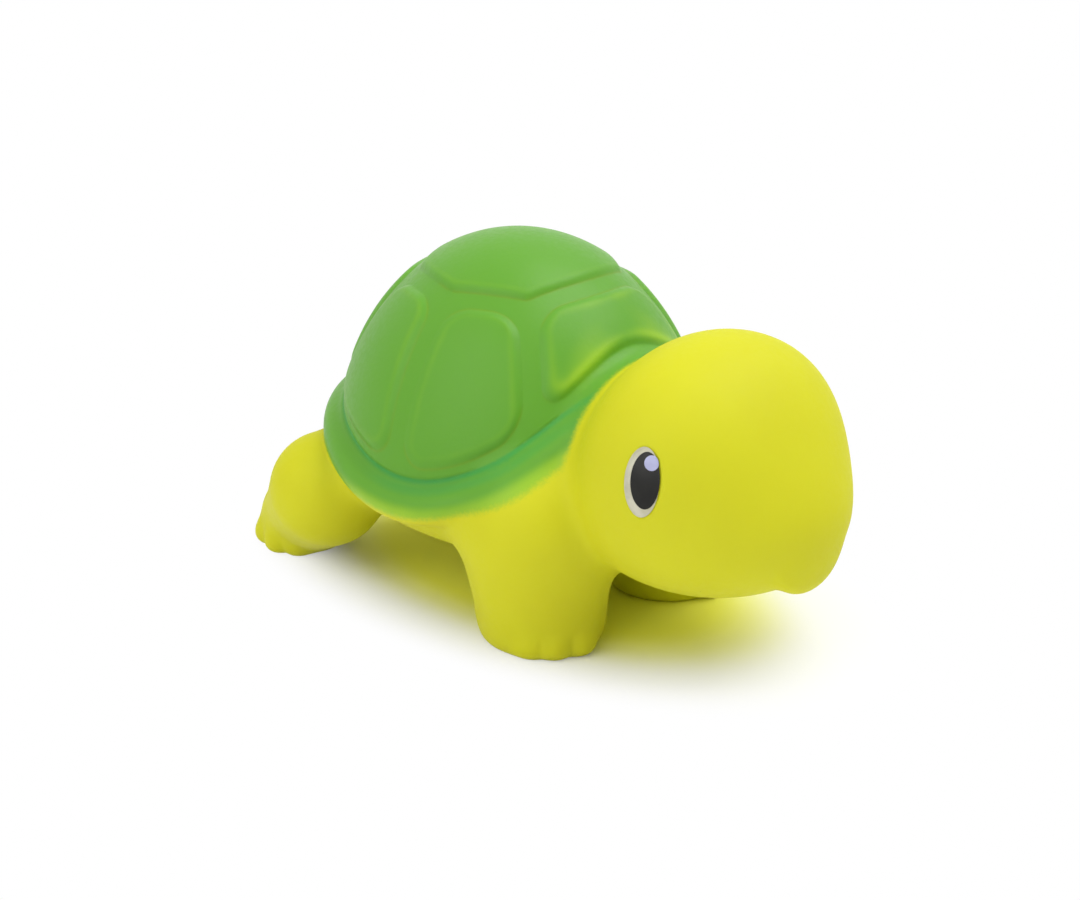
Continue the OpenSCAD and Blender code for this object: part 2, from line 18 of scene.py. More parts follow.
import bpy
import numpy as np
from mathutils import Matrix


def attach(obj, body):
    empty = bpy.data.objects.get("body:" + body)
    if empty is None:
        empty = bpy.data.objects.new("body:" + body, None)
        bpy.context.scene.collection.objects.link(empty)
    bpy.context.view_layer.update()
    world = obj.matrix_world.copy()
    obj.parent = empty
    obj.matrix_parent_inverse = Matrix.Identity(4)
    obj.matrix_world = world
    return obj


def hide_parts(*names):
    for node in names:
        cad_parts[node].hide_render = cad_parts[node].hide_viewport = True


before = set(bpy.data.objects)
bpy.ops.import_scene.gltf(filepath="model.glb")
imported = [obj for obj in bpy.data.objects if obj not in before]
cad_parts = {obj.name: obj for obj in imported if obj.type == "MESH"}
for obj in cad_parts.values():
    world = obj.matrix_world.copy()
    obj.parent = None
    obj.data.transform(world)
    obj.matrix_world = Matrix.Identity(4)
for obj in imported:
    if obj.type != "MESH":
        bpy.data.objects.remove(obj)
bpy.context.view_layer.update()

log = logging.getLogger("bath_toy")
Array = np.ndarray
Gap = Callable[[Array], Array]
Pair = tuple[float, float]

MM = 0.001
# Further from a surface than any test looks
FAR = 50.0
# The range that nearly all of a noise lies in, and the upper part of it
FULL_GRAIN: Pair = (0.3, 0.7)
HIGH_GRAIN: Pair = (0.35, 0.7)
# Settings of a Map Range node that eases in and out and never overshoots
SMOOTH = {"interpolation_type": "SMOOTHSTEP"}


# Small tools


def linear(hex_colour: str) -> tuple[float, float, float, float]:
    """Turns an sRGB hex colour into the linear colour that a socket takes.

    Args:
        hex_colour: six hex digits with a leading hash sign.

    Returns:
        Red, green, blue and an alpha of one.
    """
    parts = [int(hex_colour[i : i + 2], 16) / 255 for i in (1, 3, 5)]
    low = [c / 12.92 if c <= 0.04045 else ((c + 0.055) / 1.055) ** 2.4 for c in parts]
    return (low[0], low[1], low[2], 1.0)


def smooth_step(x: Array, low: float | Array, high: float | Array) -> Array:
    """Rises smoothly from 0 at low to 1 at high."""
    t = np.clip((x - low) / (high - low), 0, 1)
    return t * t * (3 - 2 * t)


def blend_min(a: Array, b: Array, width: float | Array) -> Array:
    """Smaller of two distances, rounded where they differ by less than width."""
    h = np.maximum(width - np.abs(a - b), 0) / width
    return np.minimum(a, b) - h * h * width / 4


def blend_max(a: Array, b: Array, width: float | Array) -> Array:
    """Larger of two distances, rounded where they differ by less than width."""
    return -blend_min(-a, -b, width)


def bell(x: Array, middle: float, half: float) -> Array:
    """1 at the middle, falling off smoothly to both sides."""
    return np.exp(-((x - middle) / half) ** 2)


def mirrored(p: Array) -> Array:
    """The points, with those on the right side brought to the left one."""
    return np.stack([p[:, 0], np.abs(p[:, 1]), p[:, 2]], -1)


def oval_gap(q: Array, half: Array) -> Array:
    """Distance from an ellipse or ellipsoid, negative inside.

    Args:
        q: the points from its middle, in its half sizes.
        half: its half sizes.

    Returns:
        The distances.
    """
    near = np.linalg.norm(q, axis=-1)
    slope = np.linalg.norm(q / half, axis=-1)
    return near * (near - 1) / np.maximum(slope, 1e-6)


@dataclass(frozen=True)
class Ellipsoid:
    """A mass of the body."""

    middle: tuple[float, float, float]
    sizes: tuple[float, float, float]

    def gap(self, p: Array) -> Array:
        """Distance of the points from the surface, negative inside."""
        half = np.array(self.sizes) / 2
        return oval_gap((p - self.middle) / half, half)


@dataclass(frozen=True)
class Limb:
    """A tapered limb with round ends."""

    start: tuple[float, float, float]
    end: tuple[float, float, float]
    start_r: float
    end_r: float

    def gap(self, p: Array) -> Array:
        """Distance of the points from the surface, negative inside.

        Args:
            p: the points, in millimetres.

        Returns:
            The distances.
        """
        a, b = np.array(self.start), np.array(self.end)
        length = np.linalg.norm(b - a)
        axis = (b - a) / length
        lean = (self.start_r - self.end_r) / length
        up = (p - a) @ axis
        off = np.linalg.norm(p - a - up[..., None] * axis, axis=-1)
        along = np.clip((up - off * lean / math.sqrt(1 - lean * lean)) / length, 0, 1)
        away = np.linalg.norm(p - a - along[..., None] * (b - a), axis=-1)
        return away - (self.start_r + (self.end_r - self.start_r) * along)


@dataclass
class SurfaceNet:
    """A closed net of triangles over the place where a distance is zero."""

    gap: Gap
    low: tuple[float, float, float]
    high: tuple[float, float, float]
    step: float
    points: Array = field(default_factory=lambda: np.zeros((0, 3)))
    triangles: Array = field(default_factory=lambda: np.zeros((0, 3), int))

    def lay(self) -> None:
        """Lays the first net, mirror-symmetric about the middle plane."""
        counts = np.ceil((np.array(self.high) - self.low) / self.step).astype(int)
        rows = int(math.ceil(self.high[1] / self.step))
        axes = [self.low[0] + self.step * np.arange(counts[0] + 1),
                self.step * np.arange(rows + 1),
                self.low[2] + self.step * np.arange(counts[2] + 1)]
        grid = np.stack(np.meshgrid(*axes, indexing="ij"), -1)
        half = self.gap(grid.reshape(-1, 3)).reshape(grid.shape[:3])
        g = np.concatenate([half[:, :0:-1], half], axis=1)
        corner = np.array([self.low[0], -rows * self.step, self.low[2]])
        within = g < 0
        shape = np.array(g.shape) - 1
        total = np.zeros(shape, int)
        for i, j, k in np.ndindex(2, 2, 2):
            total += within[i : i + shape[0], j : j + shape[1], k : k + shape[2]]
        live = (total > 0) & (total < 8)
        name = np.full(shape, -1)
        name[live] = np.arange(live.sum())
        cells = np.argwhere(live)
        place, met = np.zeros((len(cells), 3)), np.zeros(len(cells))
        quads = []
        for a in range(3):
            b, c = (a + 1) % 3, (a + 2) % 3
            step_a = np.eye(3, dtype=int)[a]
            for u, v in np.ndindex(2, 2):
                offset = np.zeros(3, int)
                offset[b], offset[c] = u, v
                g0, g1 = g[tuple((cells + offset).T)], g[tuple((cells + offset + step_a).T)]
                hit = (g0 < 0) != (g1 < 0)
                share = np.where(hit, g0 / np.where(hit, g0 - g1, 1), 0)
                place += hit[:, None] * (offset + share[:, None] * step_a)
                met += hit
            first = np.take(within, range(shape[a]), a)
            second = np.take(within, range(1, shape[a] + 1), a)
            edges = np.argwhere(first != second)
            edges = edges[(edges[:, b] > 0) & (edges[:, c] > 0)
                          & (edges[:, b] < shape[b]) & (edges[:, c] < shape[c])]
            ring = []
            for db, dc in ((1, 1), (0, 1), (0, 0), (1, 0)):
                cell = edges.copy()
                cell[:, b] -= db
                cell[:, c] -= dc
                ring.append(name[tuple(cell.T)])
            quad = np.stack(ring, 1)
            outward = first[tuple(edges.T)]
            quads.append(np.where(outward[:, None], quad, quad[:, ::-1]))
        self.points = corner + self.step * (cells + place / met[:, None])
        q = np.concatenate(quads)
        p = self.points
        short = (np.linalg.norm(p[q[:, 0]] - p[q[:, 2]], axis=1)
                 < np.linalg.norm(p[q[:, 1]] - p[q[:, 3]], axis=1))
        one = np.where(short[:, None], q[:, [0, 1, 2]], q[:, [0, 1, 3]])
        two = np.where(short[:, None], q[:, [0, 2, 3]], q[:, [1, 2, 3]])
        self.triangles = np.concatenate([one, two])

    def slopes(self, p: Array) -> tuple[Array, Array]:
        """Distances at the points and their slopes.

        Args:
            p: the points, in millimetres.

        Returns:
            Both, for each point.
        """
        small = 0.02
        d = self.gap(p)
        s = [(self.gap(p + small * axis) - d) / small for axis in np.eye(3)]
        return d, np.stack(s, -1)

    def settle(self, rounds: int) -> None:
        """Moves the points onto the surface, by a step at most each time.

        Args:
            rounds: how often it is done.
        """
        least_slope = 0.2
        for _ in range(rounds):
            d, s = self.slopes(self.points)
            reach = d / np.maximum((s * s).sum(-1), least_slope)
            self.points -= s * np.clip(reach, -self.step, self.step)[:, None]

    def relax(self, rounds: int) -> None:
        """Evens out the triangles by moving points along the surface.

        Args:
            rounds: how often it is done.
        """
        ease = 0.5
        pairs = np.concatenate([self.triangles[:, [i, (i + 1) % 3]] for i in range(3)])
        count = len(self.points)
        shared = np.bincount(pairs[:, 0], minlength=count)
        for _ in range(rounds):
            _, s = self.slopes(self.points)
            s /= np.linalg.norm(s, axis=1, keepdims=True)
            mean = np.stack([np.bincount(pairs[:, 0], self.points[pairs[:, 1], a], count)
                             for a in range(3)], 1) / shared[:, None]
            move = mean - self.points
            move -= (move * s).sum(1, keepdims=True) * s
            self.points += ease * move
            self.settle(1)

    def refine(self, wanted: Array) -> None:
        """Cuts the wanted triangles in four, and their neighbours so that no gap opens.

        Args:
            wanted: for each triangle, whether it is cut.
        """
        t, count = self.triangles, len(self.points)
        # An edge's key is the same from both of its triangles
        ends = np.sort(np.stack([t, np.roll(t, -1, 1)], -1), -1)
        key = ends[..., 0] * count + ends[..., 1]
        split = np.unique(key[wanted])
        cut = np.isin(key, split)
        middle = np.searchsorted(split, key) + count
        halves = np.stack([split // count, split % count])
        self.points = np.concatenate([self.points, self.points[halves].mean(0)])
        made = [t[cut.sum(1) == 0]]
        for turn in range(3):
            # Columns 0 to 2 are a triangle's corners, and 3 to 5 the middles of its edges
            six = np.concatenate([np.roll(t, -turn, 1), np.roll(middle, -turn, 1)], 1)
            first, second, third = np.roll(cut, -turn, 1).T
            made += [six[first & ~second & ~third][:, k] for k in ([0, 3, 2], [3, 1, 2])]
            made += [six[first & second & ~third][:, k]
                     for k in ([3, 1, 4], [0, 3, 4], [0, 4, 2])]
        six = np.concatenate([t, middle], 1)[cut.all(1)]
        made += [six[:, k] for k in ([0, 3, 5], [3, 1, 4], [5, 4, 2], [3, 4, 5])]
        self.triangles = np.concatenate(made)

    def middles(self) -> Array:
        """Middles of the triangles."""
        return self.points[self.triangles].mean(1)


def put_in_scene(name: str, data: Any) -> bpy.types.Object:
    """Makes an object of a mesh, a lamp or a camera, and links it to the scene.

    Args:
        name: the object's name.
        data: what it shows or does.

    Returns:
        The object.
    """
    made = bpy.data.objects.new(name, data)
    bpy.context.scene.collection.objects.link(made)
    return made


def as_object(
    name: str, points: Array, faces: Array | list[list[int]], smooth: bool = True
) -> bpy.types.Object:
    """Makes a mesh object at the origin.

    Args:
        name: the piece's name.
        points: corners in millimetres.
        faces: rows of corner numbers.
        smooth: whether the shading runs smoothly over the faces.

    Returns:
        The object, linked to the scene.
    """
    rows = faces.tolist() if isinstance(faces, np.ndarray) else faces
    mesh = bpy.data.meshes.new(name)
    mesh.from_pydata((points * MM).tolist(), [], rows)
    mesh.validate()
    if smooth:
        mesh.shade_smooth()
    return put_in_scene(name, mesh)


def store(piece: bpy.types.Object, layers: dict[str, Array]) -> None:
    """Stores a number for each point of a piece's mesh under each name.

    Args:
        piece: the piece.
        layers: for each name, its numbers.
    """
    for name, values in layers.items():
        layer = piece.data.attributes.new(name, "FLOAT", "POINT")
        layer.data.foreach_set("value", values.astype(np.float32))


def settle_modifiers(piece: bpy.types.Object) -> None:
    """Turns the result of a piece's modifiers into its plain mesh.

    Args:
        piece: the piece.
    """
    graph = bpy.context.evaluated_depsgraph_get()
    done = bpy.data.meshes.new_from_object(piece.evaluated_get(graph))
    piece.modifiers.clear()
    piece.data = done
    done.name = piece.name


def combine(piece: bpy.types.Object, other: bpy.types.Object, way: str) -> None:
    """Cuts another solid from a piece or joins it on, and deletes the other.

    Args:
        piece: the piece that is changed.
        other: the solid that is used.
        way: DIFFERENCE, UNION or INTERSECT.
    """
    cut = piece.modifiers.new("combine", "BOOLEAN")
    cut.operation, cut.object, cut.solver = way, other, "MANIFOLD"
    settle_modifiers(piece)
    bpy.data.objects.remove(other)


def cylinder(
    name: str, x: float, r: float, low: float, high: float, sides: int = 96
) -> bpy.types.Object:
    """An upright cylinder whose axis meets the middle plane at x, as a tool for combine.

    Args:
        name: the object's name.
        x: place of the axis.
        r: radius.
        low: height of the lower end.
        high: height of the upper end.
        sides: number of flat sides.

    Returns:
        The object.
    """
    turn = np.arange(sides) * 2 * math.pi / sides
    ring = np.stack([x + r * np.cos(turn), r * np.sin(turn)], 1)
    points = np.concatenate([np.c_[ring, np.full(sides, z)] for z in (low, high)])
    walls = [[i, (i + 1) % sides, sides + (i + 1) % sides, sides + i] for i in range(sides)]
    ends = [list(range(sides))[::-1], list(range(sides, 2 * sides))]
    return as_object(name, points, ends + walls)


@dataclass(frozen=True)
class Wiring:
    """Adds nodes to a tree and links them."""

    tree: bpy.types.NodeTree

    def fill(self, node: bpy.types.Node, inputs: dict[int | str, Any] | tuple[Any, ...]) -> None:
        """Fills a node's inputs.

        Args:
            node: the node.
            inputs: in order, or by name or number: a value, a colour's hex text, or the
                output that feeds the input.
        """
        for key, value in inputs.items() if isinstance(inputs, dict) else enumerate(inputs):
            if isinstance(value, bpy.types.NodeSocket):
                self.tree.links.new(value, node.inputs[key])
            elif isinstance(value, str) and value.startswith("#"):
                node.inputs[key].default_value = linear(value)
            else:
                node.inputs[key].default_value = value

    def add(
        self, kind: str, inputs: dict[int | str, Any] | tuple[Any, ...] = (), **settings: Any
    ) -> Any:
        """Adds a node.

        Args:
            kind: Blender's name of the node's type.
            inputs: what fill takes.
            settings: properties of the node.

        Returns:
            The node's outputs.
        """
        node = self.tree.nodes.new(kind)
        for key, value in settings.items():
            setattr(node, key, value)
        self.fill(node, inputs)
        return node.outputs

    def dress(self, **inputs: Any) -> None:
        """Fills sockets of the Principled shader, named with underscores for spaces."""
        self.fill(self.tree.nodes["Principled BSDF"],
                  {key.replace("_", " "): value for key, value in inputs.items()})

    def end_white(self, share: Any, plain: Any, white_kind: str) -> None:
        """Ends a tree in a shader that the camera, reflections and clear things see as white.

        Args:
            share: how white it is to them, or None for wholly.
            plain: what lights the toy.
            white_kind: the type of the node that gives the white.
        """
        path = self.add("ShaderNodeLightPath")
        seen = self.add("ShaderNodeMath", (path["Is Glossy Ray"], path["Is Transmission Ray"]),
                        operation="MAXIMUM")[0]
        seen = self.add("ShaderNodeMath", (path["Is Camera Ray"], seen), operation="MAXIMUM")[0]
        if share is not None:
            seen = self.add("ShaderNodeMath", (seen, share), operation="MULTIPLY")[0]
        white = self.add(white_kind, {"Color": (1, 1, 1, 1), "Strength": 1.0})[0]
        mix = self.add("ShaderNodeMixShader", (seen, plain, white))[0]
        end = next(n for n in self.tree.nodes if n.type.startswith("OUTPUT"))
        self.fill(end, {"Surface": mix})

    def end_geometry(self, geometry: Any, material: Any) -> None:
        """Ends a tree in Realize Instances and Set Material.

        Args:
            geometry: the output that gives the finished mesh.
            material: the output that gives the material.
        """
        real = self.add("GeometryNodeRealizeInstances", (geometry,))[0]
        dressed = self.add("GeometryNodeSetMaterial", {"Geometry": real, "Material": material})[0]
        self.add("NodeGroupOutput", (dressed,))


def new_tree(name: str, **sockets: str) -> tuple[Wiring, Any]:
    """Starts a Geometry Nodes tree with named inputs.

    Args:
        name: the tree's name.
        sockets: for each input after the geometry, the kind of its socket.

    Returns:
        The tree's wiring, and the inputs as outputs of its first node.
    """
    tree = bpy.data.node_groups.new(name, "GeometryNodeTree")
    for label, kind in {"Geometry": "Geometry", **sockets}.items():
        tree.interface.new_socket(label, in_out="INPUT", socket_type=f"NodeSocket{kind}")
    tree.interface.new_socket("Geometry", in_out="OUTPUT", socket_type="NodeSocketGeometry")
    wiring = Wiring(tree)
    return wiring, wiring.add("NodeGroupInput")


def run_tree(piece: bpy.types.Object, tree: bpy.types.NodeTree, values: dict[str, Any]) -> None:
    """Runs a Geometry Nodes tree on a piece and keeps the result as its plain mesh.

    Args:
        piece: the piece.
        tree: the tree.
        values: for each input by name, its value.
    """
    modifier = piece.modifiers.new(tree.name, "NODES")
    modifier.node_group = tree
    for socket in tree.interface.items_tree:
        if socket.in_out == "INPUT" and socket.name in values:
            modifier[socket.identifier] = values[socket.name]
    settle_modifiers(piece)


# Finishes


class Slot(Enum):
    """The record's material slots, one named on each printed layer."""

    VINYL = "soft_vinyl"
    WHITE = "white_print"
    BLACK = "black_print"
    LAVENDER = "lavender_print"


def lumps(size: float) -> float:
    """Scale of a noise whose lumps are about size millimetres across."""
    return 0.5 / (size * MM)


def start_material(name: str, **shader: Any) -> tuple[bpy.types.Material, Wiring]:
    """Starts a material.

    Args:
        name: the material's name.
        shader: values of the shader's own sockets, with underscores for spaces.

    Returns:
        The material and its wiring.
    """
    made = bpy.data.materials.new(name)
    made.use_nodes = True
    wiring = Wiring(made.node_tree)
    wiring.dress(**shader)
    return made, wiring


@dataclass(frozen=True)
class SprayedVinyl:
    """Rotationally cast soft PVC in solid yellow, its shell sprayed green through a mask.

    The casting is satin and faintly translucent, with the fine orange-peel of the mould. The
    spray lies thicker in the groove and on the rim, thins at the ridges and fades at its edge.
    A darker olive line along the plates' creases is partly painted crease shade and partly
    thinner paint.
    """

    yellow: str = "#cfce1f"
    yellow_deep: str = "#c6c11a"
    deep_share: float = 0.25
    mottle_mm: float = 9.0
    green: str = "#62a02e"
    green_thin: str = "#9cc52c"
    green_thick: str = "#449c44"
    mottle_share: float = 0.3
    thin_coat: Pair = (0.05, 0.55)
    thick_coat: Pair = (0.55, 1.0)
    # A darker olive line along the plates' creases, partly painted crease shade and partly thinner
    # paint
    crease_shade_thin_paint: str = "#7d9a1e"
    crease_shade_thin_paint_share: float = 0.4
    edge_mm: float = 0.25
    edge_ragged: Pair = (-0.06, 0.06)
    edge_width: Pair = (0.2, 0.8)
    speck: str = "#4a4a20"
    speck_step_mm: float = 7.5
    speck_size: Pair = (0.016, 0.03)
    speck_share: float = 0.75
    speck_pick: float = 0.72
    roughness: Pair = (0.35, 0.43)
    bare_rougher: float = 0.22
    swell_mm: float = 5.0
    swell_deep: float = 0.05
    peel_mm: float = 0.45
    peel_deep: float = 0.018
    bare_peel: float = 0.5

    def make(self) -> bpy.types.Material:
        """Builds the material.

        Returns:
            The material.
        """
        made, w = start_material(
            "sprayed_soft_vinyl", IOR=1.53, Specular_IOR_Level=0.2, Subsurface_Weight=0.3,
            Subsurface_Scale=0.003, Subsurface_Radius=(1.0, 0.8, 0.2))
        place = w.add("ShaderNodeTexCoord")["Object"]
        spray, thick, line = (w.add("ShaderNodeAttribute", attribute_name=name)["Fac"]
                              for name in ("spray", "spray_depth", "plate_line"))
        mottle, ragged, swell, peel = (
            w.add("ShaderNodeTexNoise",
                  {"Vector": place, "Scale": lumps(size), "Detail": detail})[0]
            for size, detail in ((self.mottle_mm, 3.0), (self.edge_mm, 2.0),
                                 (self.swell_mm, 1.0), (self.peel_mm, 2.0)))

        ragged = w.add("ShaderNodeMapRange", (ragged, *FULL_GRAIN, *self.edge_ragged),
                       **SMOOTH)[0]
        cover = w.add("ShaderNodeMath", (spray, ragged), operation="ADD")[0]
        level = w.add("ShaderNodeMath", (mottle, self.mottle_share, thick),
                      operation="MULTIPLY_ADD")[0]
        cover, deep, thin, heavy = (
            w.add("ShaderNodeMapRange", inputs, **SMOOTH)[0]
            for inputs in ((cover, *self.edge_width), (mottle, *HIGH_GRAIN, 0.0, self.deep_share),
                           (level, *self.thin_coat), (thick, *self.thick_coat)))
        # The crease line: partly painted crease shade, partly thinner paint
        line = w.add("ShaderNodeMath", (line, self.crease_shade_thin_paint_share), operation="MULTIPLY")[0]

        dots = w.add("ShaderNodeTexVoronoi",
                     {"Vector": place, "Scale": 1 / (self.speck_step_mm * MM)})
        near = w.add("ShaderNodeMapRange",
                     (dots["Distance"], *self.speck_size, self.speck_share, 0.0), **SMOOTH)[0]
        pick = w.add("ShaderNodeSeparateColor", (dots["Color"],))[0]
        picked = w.add("ShaderNodeMath", (pick, self.speck_pick), operation="GREATER_THAN")[0]
        speck = w.add("ShaderNodeMath", (near, picked), operation="MULTIPLY")[0]

        bare = w.add("ShaderNodeMix", {0: deep, 6: self.yellow, 7: self.yellow_deep},
                     data_type="RGBA")[2]
        coat = self.green_thin
        for share, colour in ((thin, self.green), (heavy, self.green_thick),
                              (line, self.crease_shade_thin_paint)):
            coat = w.add("ShaderNodeMix", {0: share, 6: coat, 7: colour}, data_type="RGBA")[2]
        skin = w.add("ShaderNodeMix", {0: cover, 6: bare, 7: coat}, data_type="RGBA")[2]
        skin = w.add("ShaderNodeMix", {0: speck, 6: skin, 7: self.speck}, data_type="RGBA")[2]

        rough = w.add("ShaderNodeMapRange", (peel, *FULL_GRAIN, *self.roughness), **SMOOTH)[0]
        rougher = w.add("ShaderNodeMath", (rough, self.bare_rougher), operation="ADD")[0]
        rough = w.add("ShaderNodeMix", {0: cover, 2: rougher, 3: rough}, data_type="FLOAT")[0]
        share = w.add("ShaderNodeMath", (cover, self.bare_peel), operation="ADD")[0]
        peel = w.add("ShaderNodeMath", (peel, share), operation="MULTIPLY")[0]
        swell = w.add("ShaderNodeBump", {"Height": swell, "Distance": self.swell_deep * MM,
                                         "Strength": 1.0})[0]
        relief = w.add("ShaderNodeBump", {"Height": peel, "Distance": self.peel_deep * MM,
                                          "Strength": 1.0, "Normal": swell})[0]
        w.dress(Base_Color=skin, Roughness=rough, Normal=relief)
        return made


@dataclass(frozen=True)
class PlainFinish:
    """A finish in two tones, whose gloss and relief follow patterns of a real size."""

    name: str
    colour: str
    other_tone: str
    roughness: Pair
    deep: float

    def fill(self, w: Wiring, tone: Any, gloss: tuple[Any, ...], height: Any) -> None:
        """Fills the shader's colour, roughness and normal.

        Args:
            w: the material's wiring.
            tone: the share of the other tone.
            gloss: the pattern that the roughness follows, and the range that it lies in.
            height: the pattern that stands out.
        """
        colour = w.add("ShaderNodeMix", {0: tone, 6: self.colour, 7: self.other_tone},
                       data_type="RGBA")[2]
        rough = w.add("ShaderNodeMapRange", (*gloss, *self.roughness), **SMOOTH)[0]
        relief = w.add("ShaderNodeBump", {"Height": height, "Distance": self.deep * MM,
                                          "Strength": 1.0})[0]
        w.dress(Base_Color=colour, Roughness=rough, Normal=relief)


@dataclass(frozen=True)
class PadInk(PlainFinish):
    """Pad-printed vinyl ink: a thin even film, glossier than the casting, with a pinhole grain."""

    roughness: Pair = (0.28, 0.38)
    deep: float = 0.006
    tone_mm: float = 1.2
    gloss_mm: float = 0.4
    pinhole_mm: float = 0.3

    def make(self) -> bpy.types.Material:
        """Builds the material.

        Returns:
            The material.
        """
        made, w = start_material(self.name, IOR=1.5, Specular_IOR_Level=0.3)
        place = w.add("ShaderNodeTexCoord")["Object"]
        tone, gloss, pinholes = (
            w.add("ShaderNodeTexNoise",
                  {"Vector": place, "Scale": lumps(size), "Detail": detail})[0]
            for size, detail in ((self.tone_mm, 3.0), (self.gloss_mm, 2.0),
                                 (self.pinhole_mm, 2.0)))
        tone = w.add("ShaderNodeMapRange", (tone, *HIGH_GRAIN), **SMOOTH)[0]
        self.fill(w, tone, (gloss, *FULL_GRAIN), pinholes)
        return made


@dataclass(frozen=True)
class MouldedPolyethylene(PlainFinish):
    """Injection-moulded natural polyethylene: milky, waxy and satin, with fine turning marks."""

    name: str = "natural_polyethylene"
    colour: str = "#ebeae2"
    other_tone: str = "#dcdbd2"
    roughness: Pair = (0.4, 0.5)
    deep: float = 0.008
    milk_mm: float = 2.5
    axis_x: float = -12.0
    mark_mm: float = 0.45
    rings_scale: float = 0.314

    def make(self) -> bpy.types.Material:
        """Builds the material.

        Returns:
            The material.
        """
        made, w = start_material(self.name, IOR=1.51, Subsurface_Weight=0.15,
                                 Subsurface_Scale=0.002)
        place = w.add("ShaderNodeTexCoord")["Object"]
        centred = w.add("ShaderNodeMapping", {"Vector": place,
                                              "Location": (-self.axis_x * MM, 0, 0)})[0]
        marks = w.add("ShaderNodeTexWave",
                      {"Vector": centred, "Scale": self.rings_scale / (self.mark_mm * MM),
                       "Distortion": 0.6, "Detail": 1.0},
                      wave_type="RINGS", rings_direction="Z")["Fac"]
        milk = w.add("ShaderNodeTexNoise",
                     {"Vector": place, "Scale": lumps(self.milk_mm), "Detail": 3.0})[0]
        milk = w.add("ShaderNodeMapRange", (milk, *HIGH_GRAIN), **SMOOTH)[0]
        self.fill(w, milk, (marks, 0.0, 1.0), marks)
        return made


@dataclass(frozen=True)
class CutPolyester(PlainFinish):
    """Clear polyester strip slit from film: glossy, faintly grey, with slitting streaks."""

    name: str = "clear_polyester_strip"
    colour: str = "#dfe3e6"
    other_tone: str = "#c9cfd4"
    roughness: Pair = (0.12, 0.3)
    deep: float = 0.004
    streak_mm: float = 0.2
    streak_drawn: float = 0.04
    streak_grey: Pair = (0.35, 0.65)

    def make(self) -> bpy.types.Material:
        """Builds the material.

        Returns:
            The material.
        """
        made, w = start_material(self.name, IOR=1.58, Transmission_Weight=0.6)
        place = w.add("ShaderNodeTexCoord")["Object"]
        drawn = w.add("ShaderNodeMapping", {"Vector": place,
                                            "Scale": (1, 1, self.streak_drawn)})[0]
        streak = w.add("ShaderNodeTexNoise",
                       {"Vector": drawn, "Scale": lumps(self.streak_mm), "Detail": 2.0})[0]
        grey = w.add("ShaderNodeMapRange", (streak, *self.streak_grey), **SMOOTH)[0]
        self.fill(w, grey, (streak, *FULL_GRAIN), streak)
        return made


# The cast skin


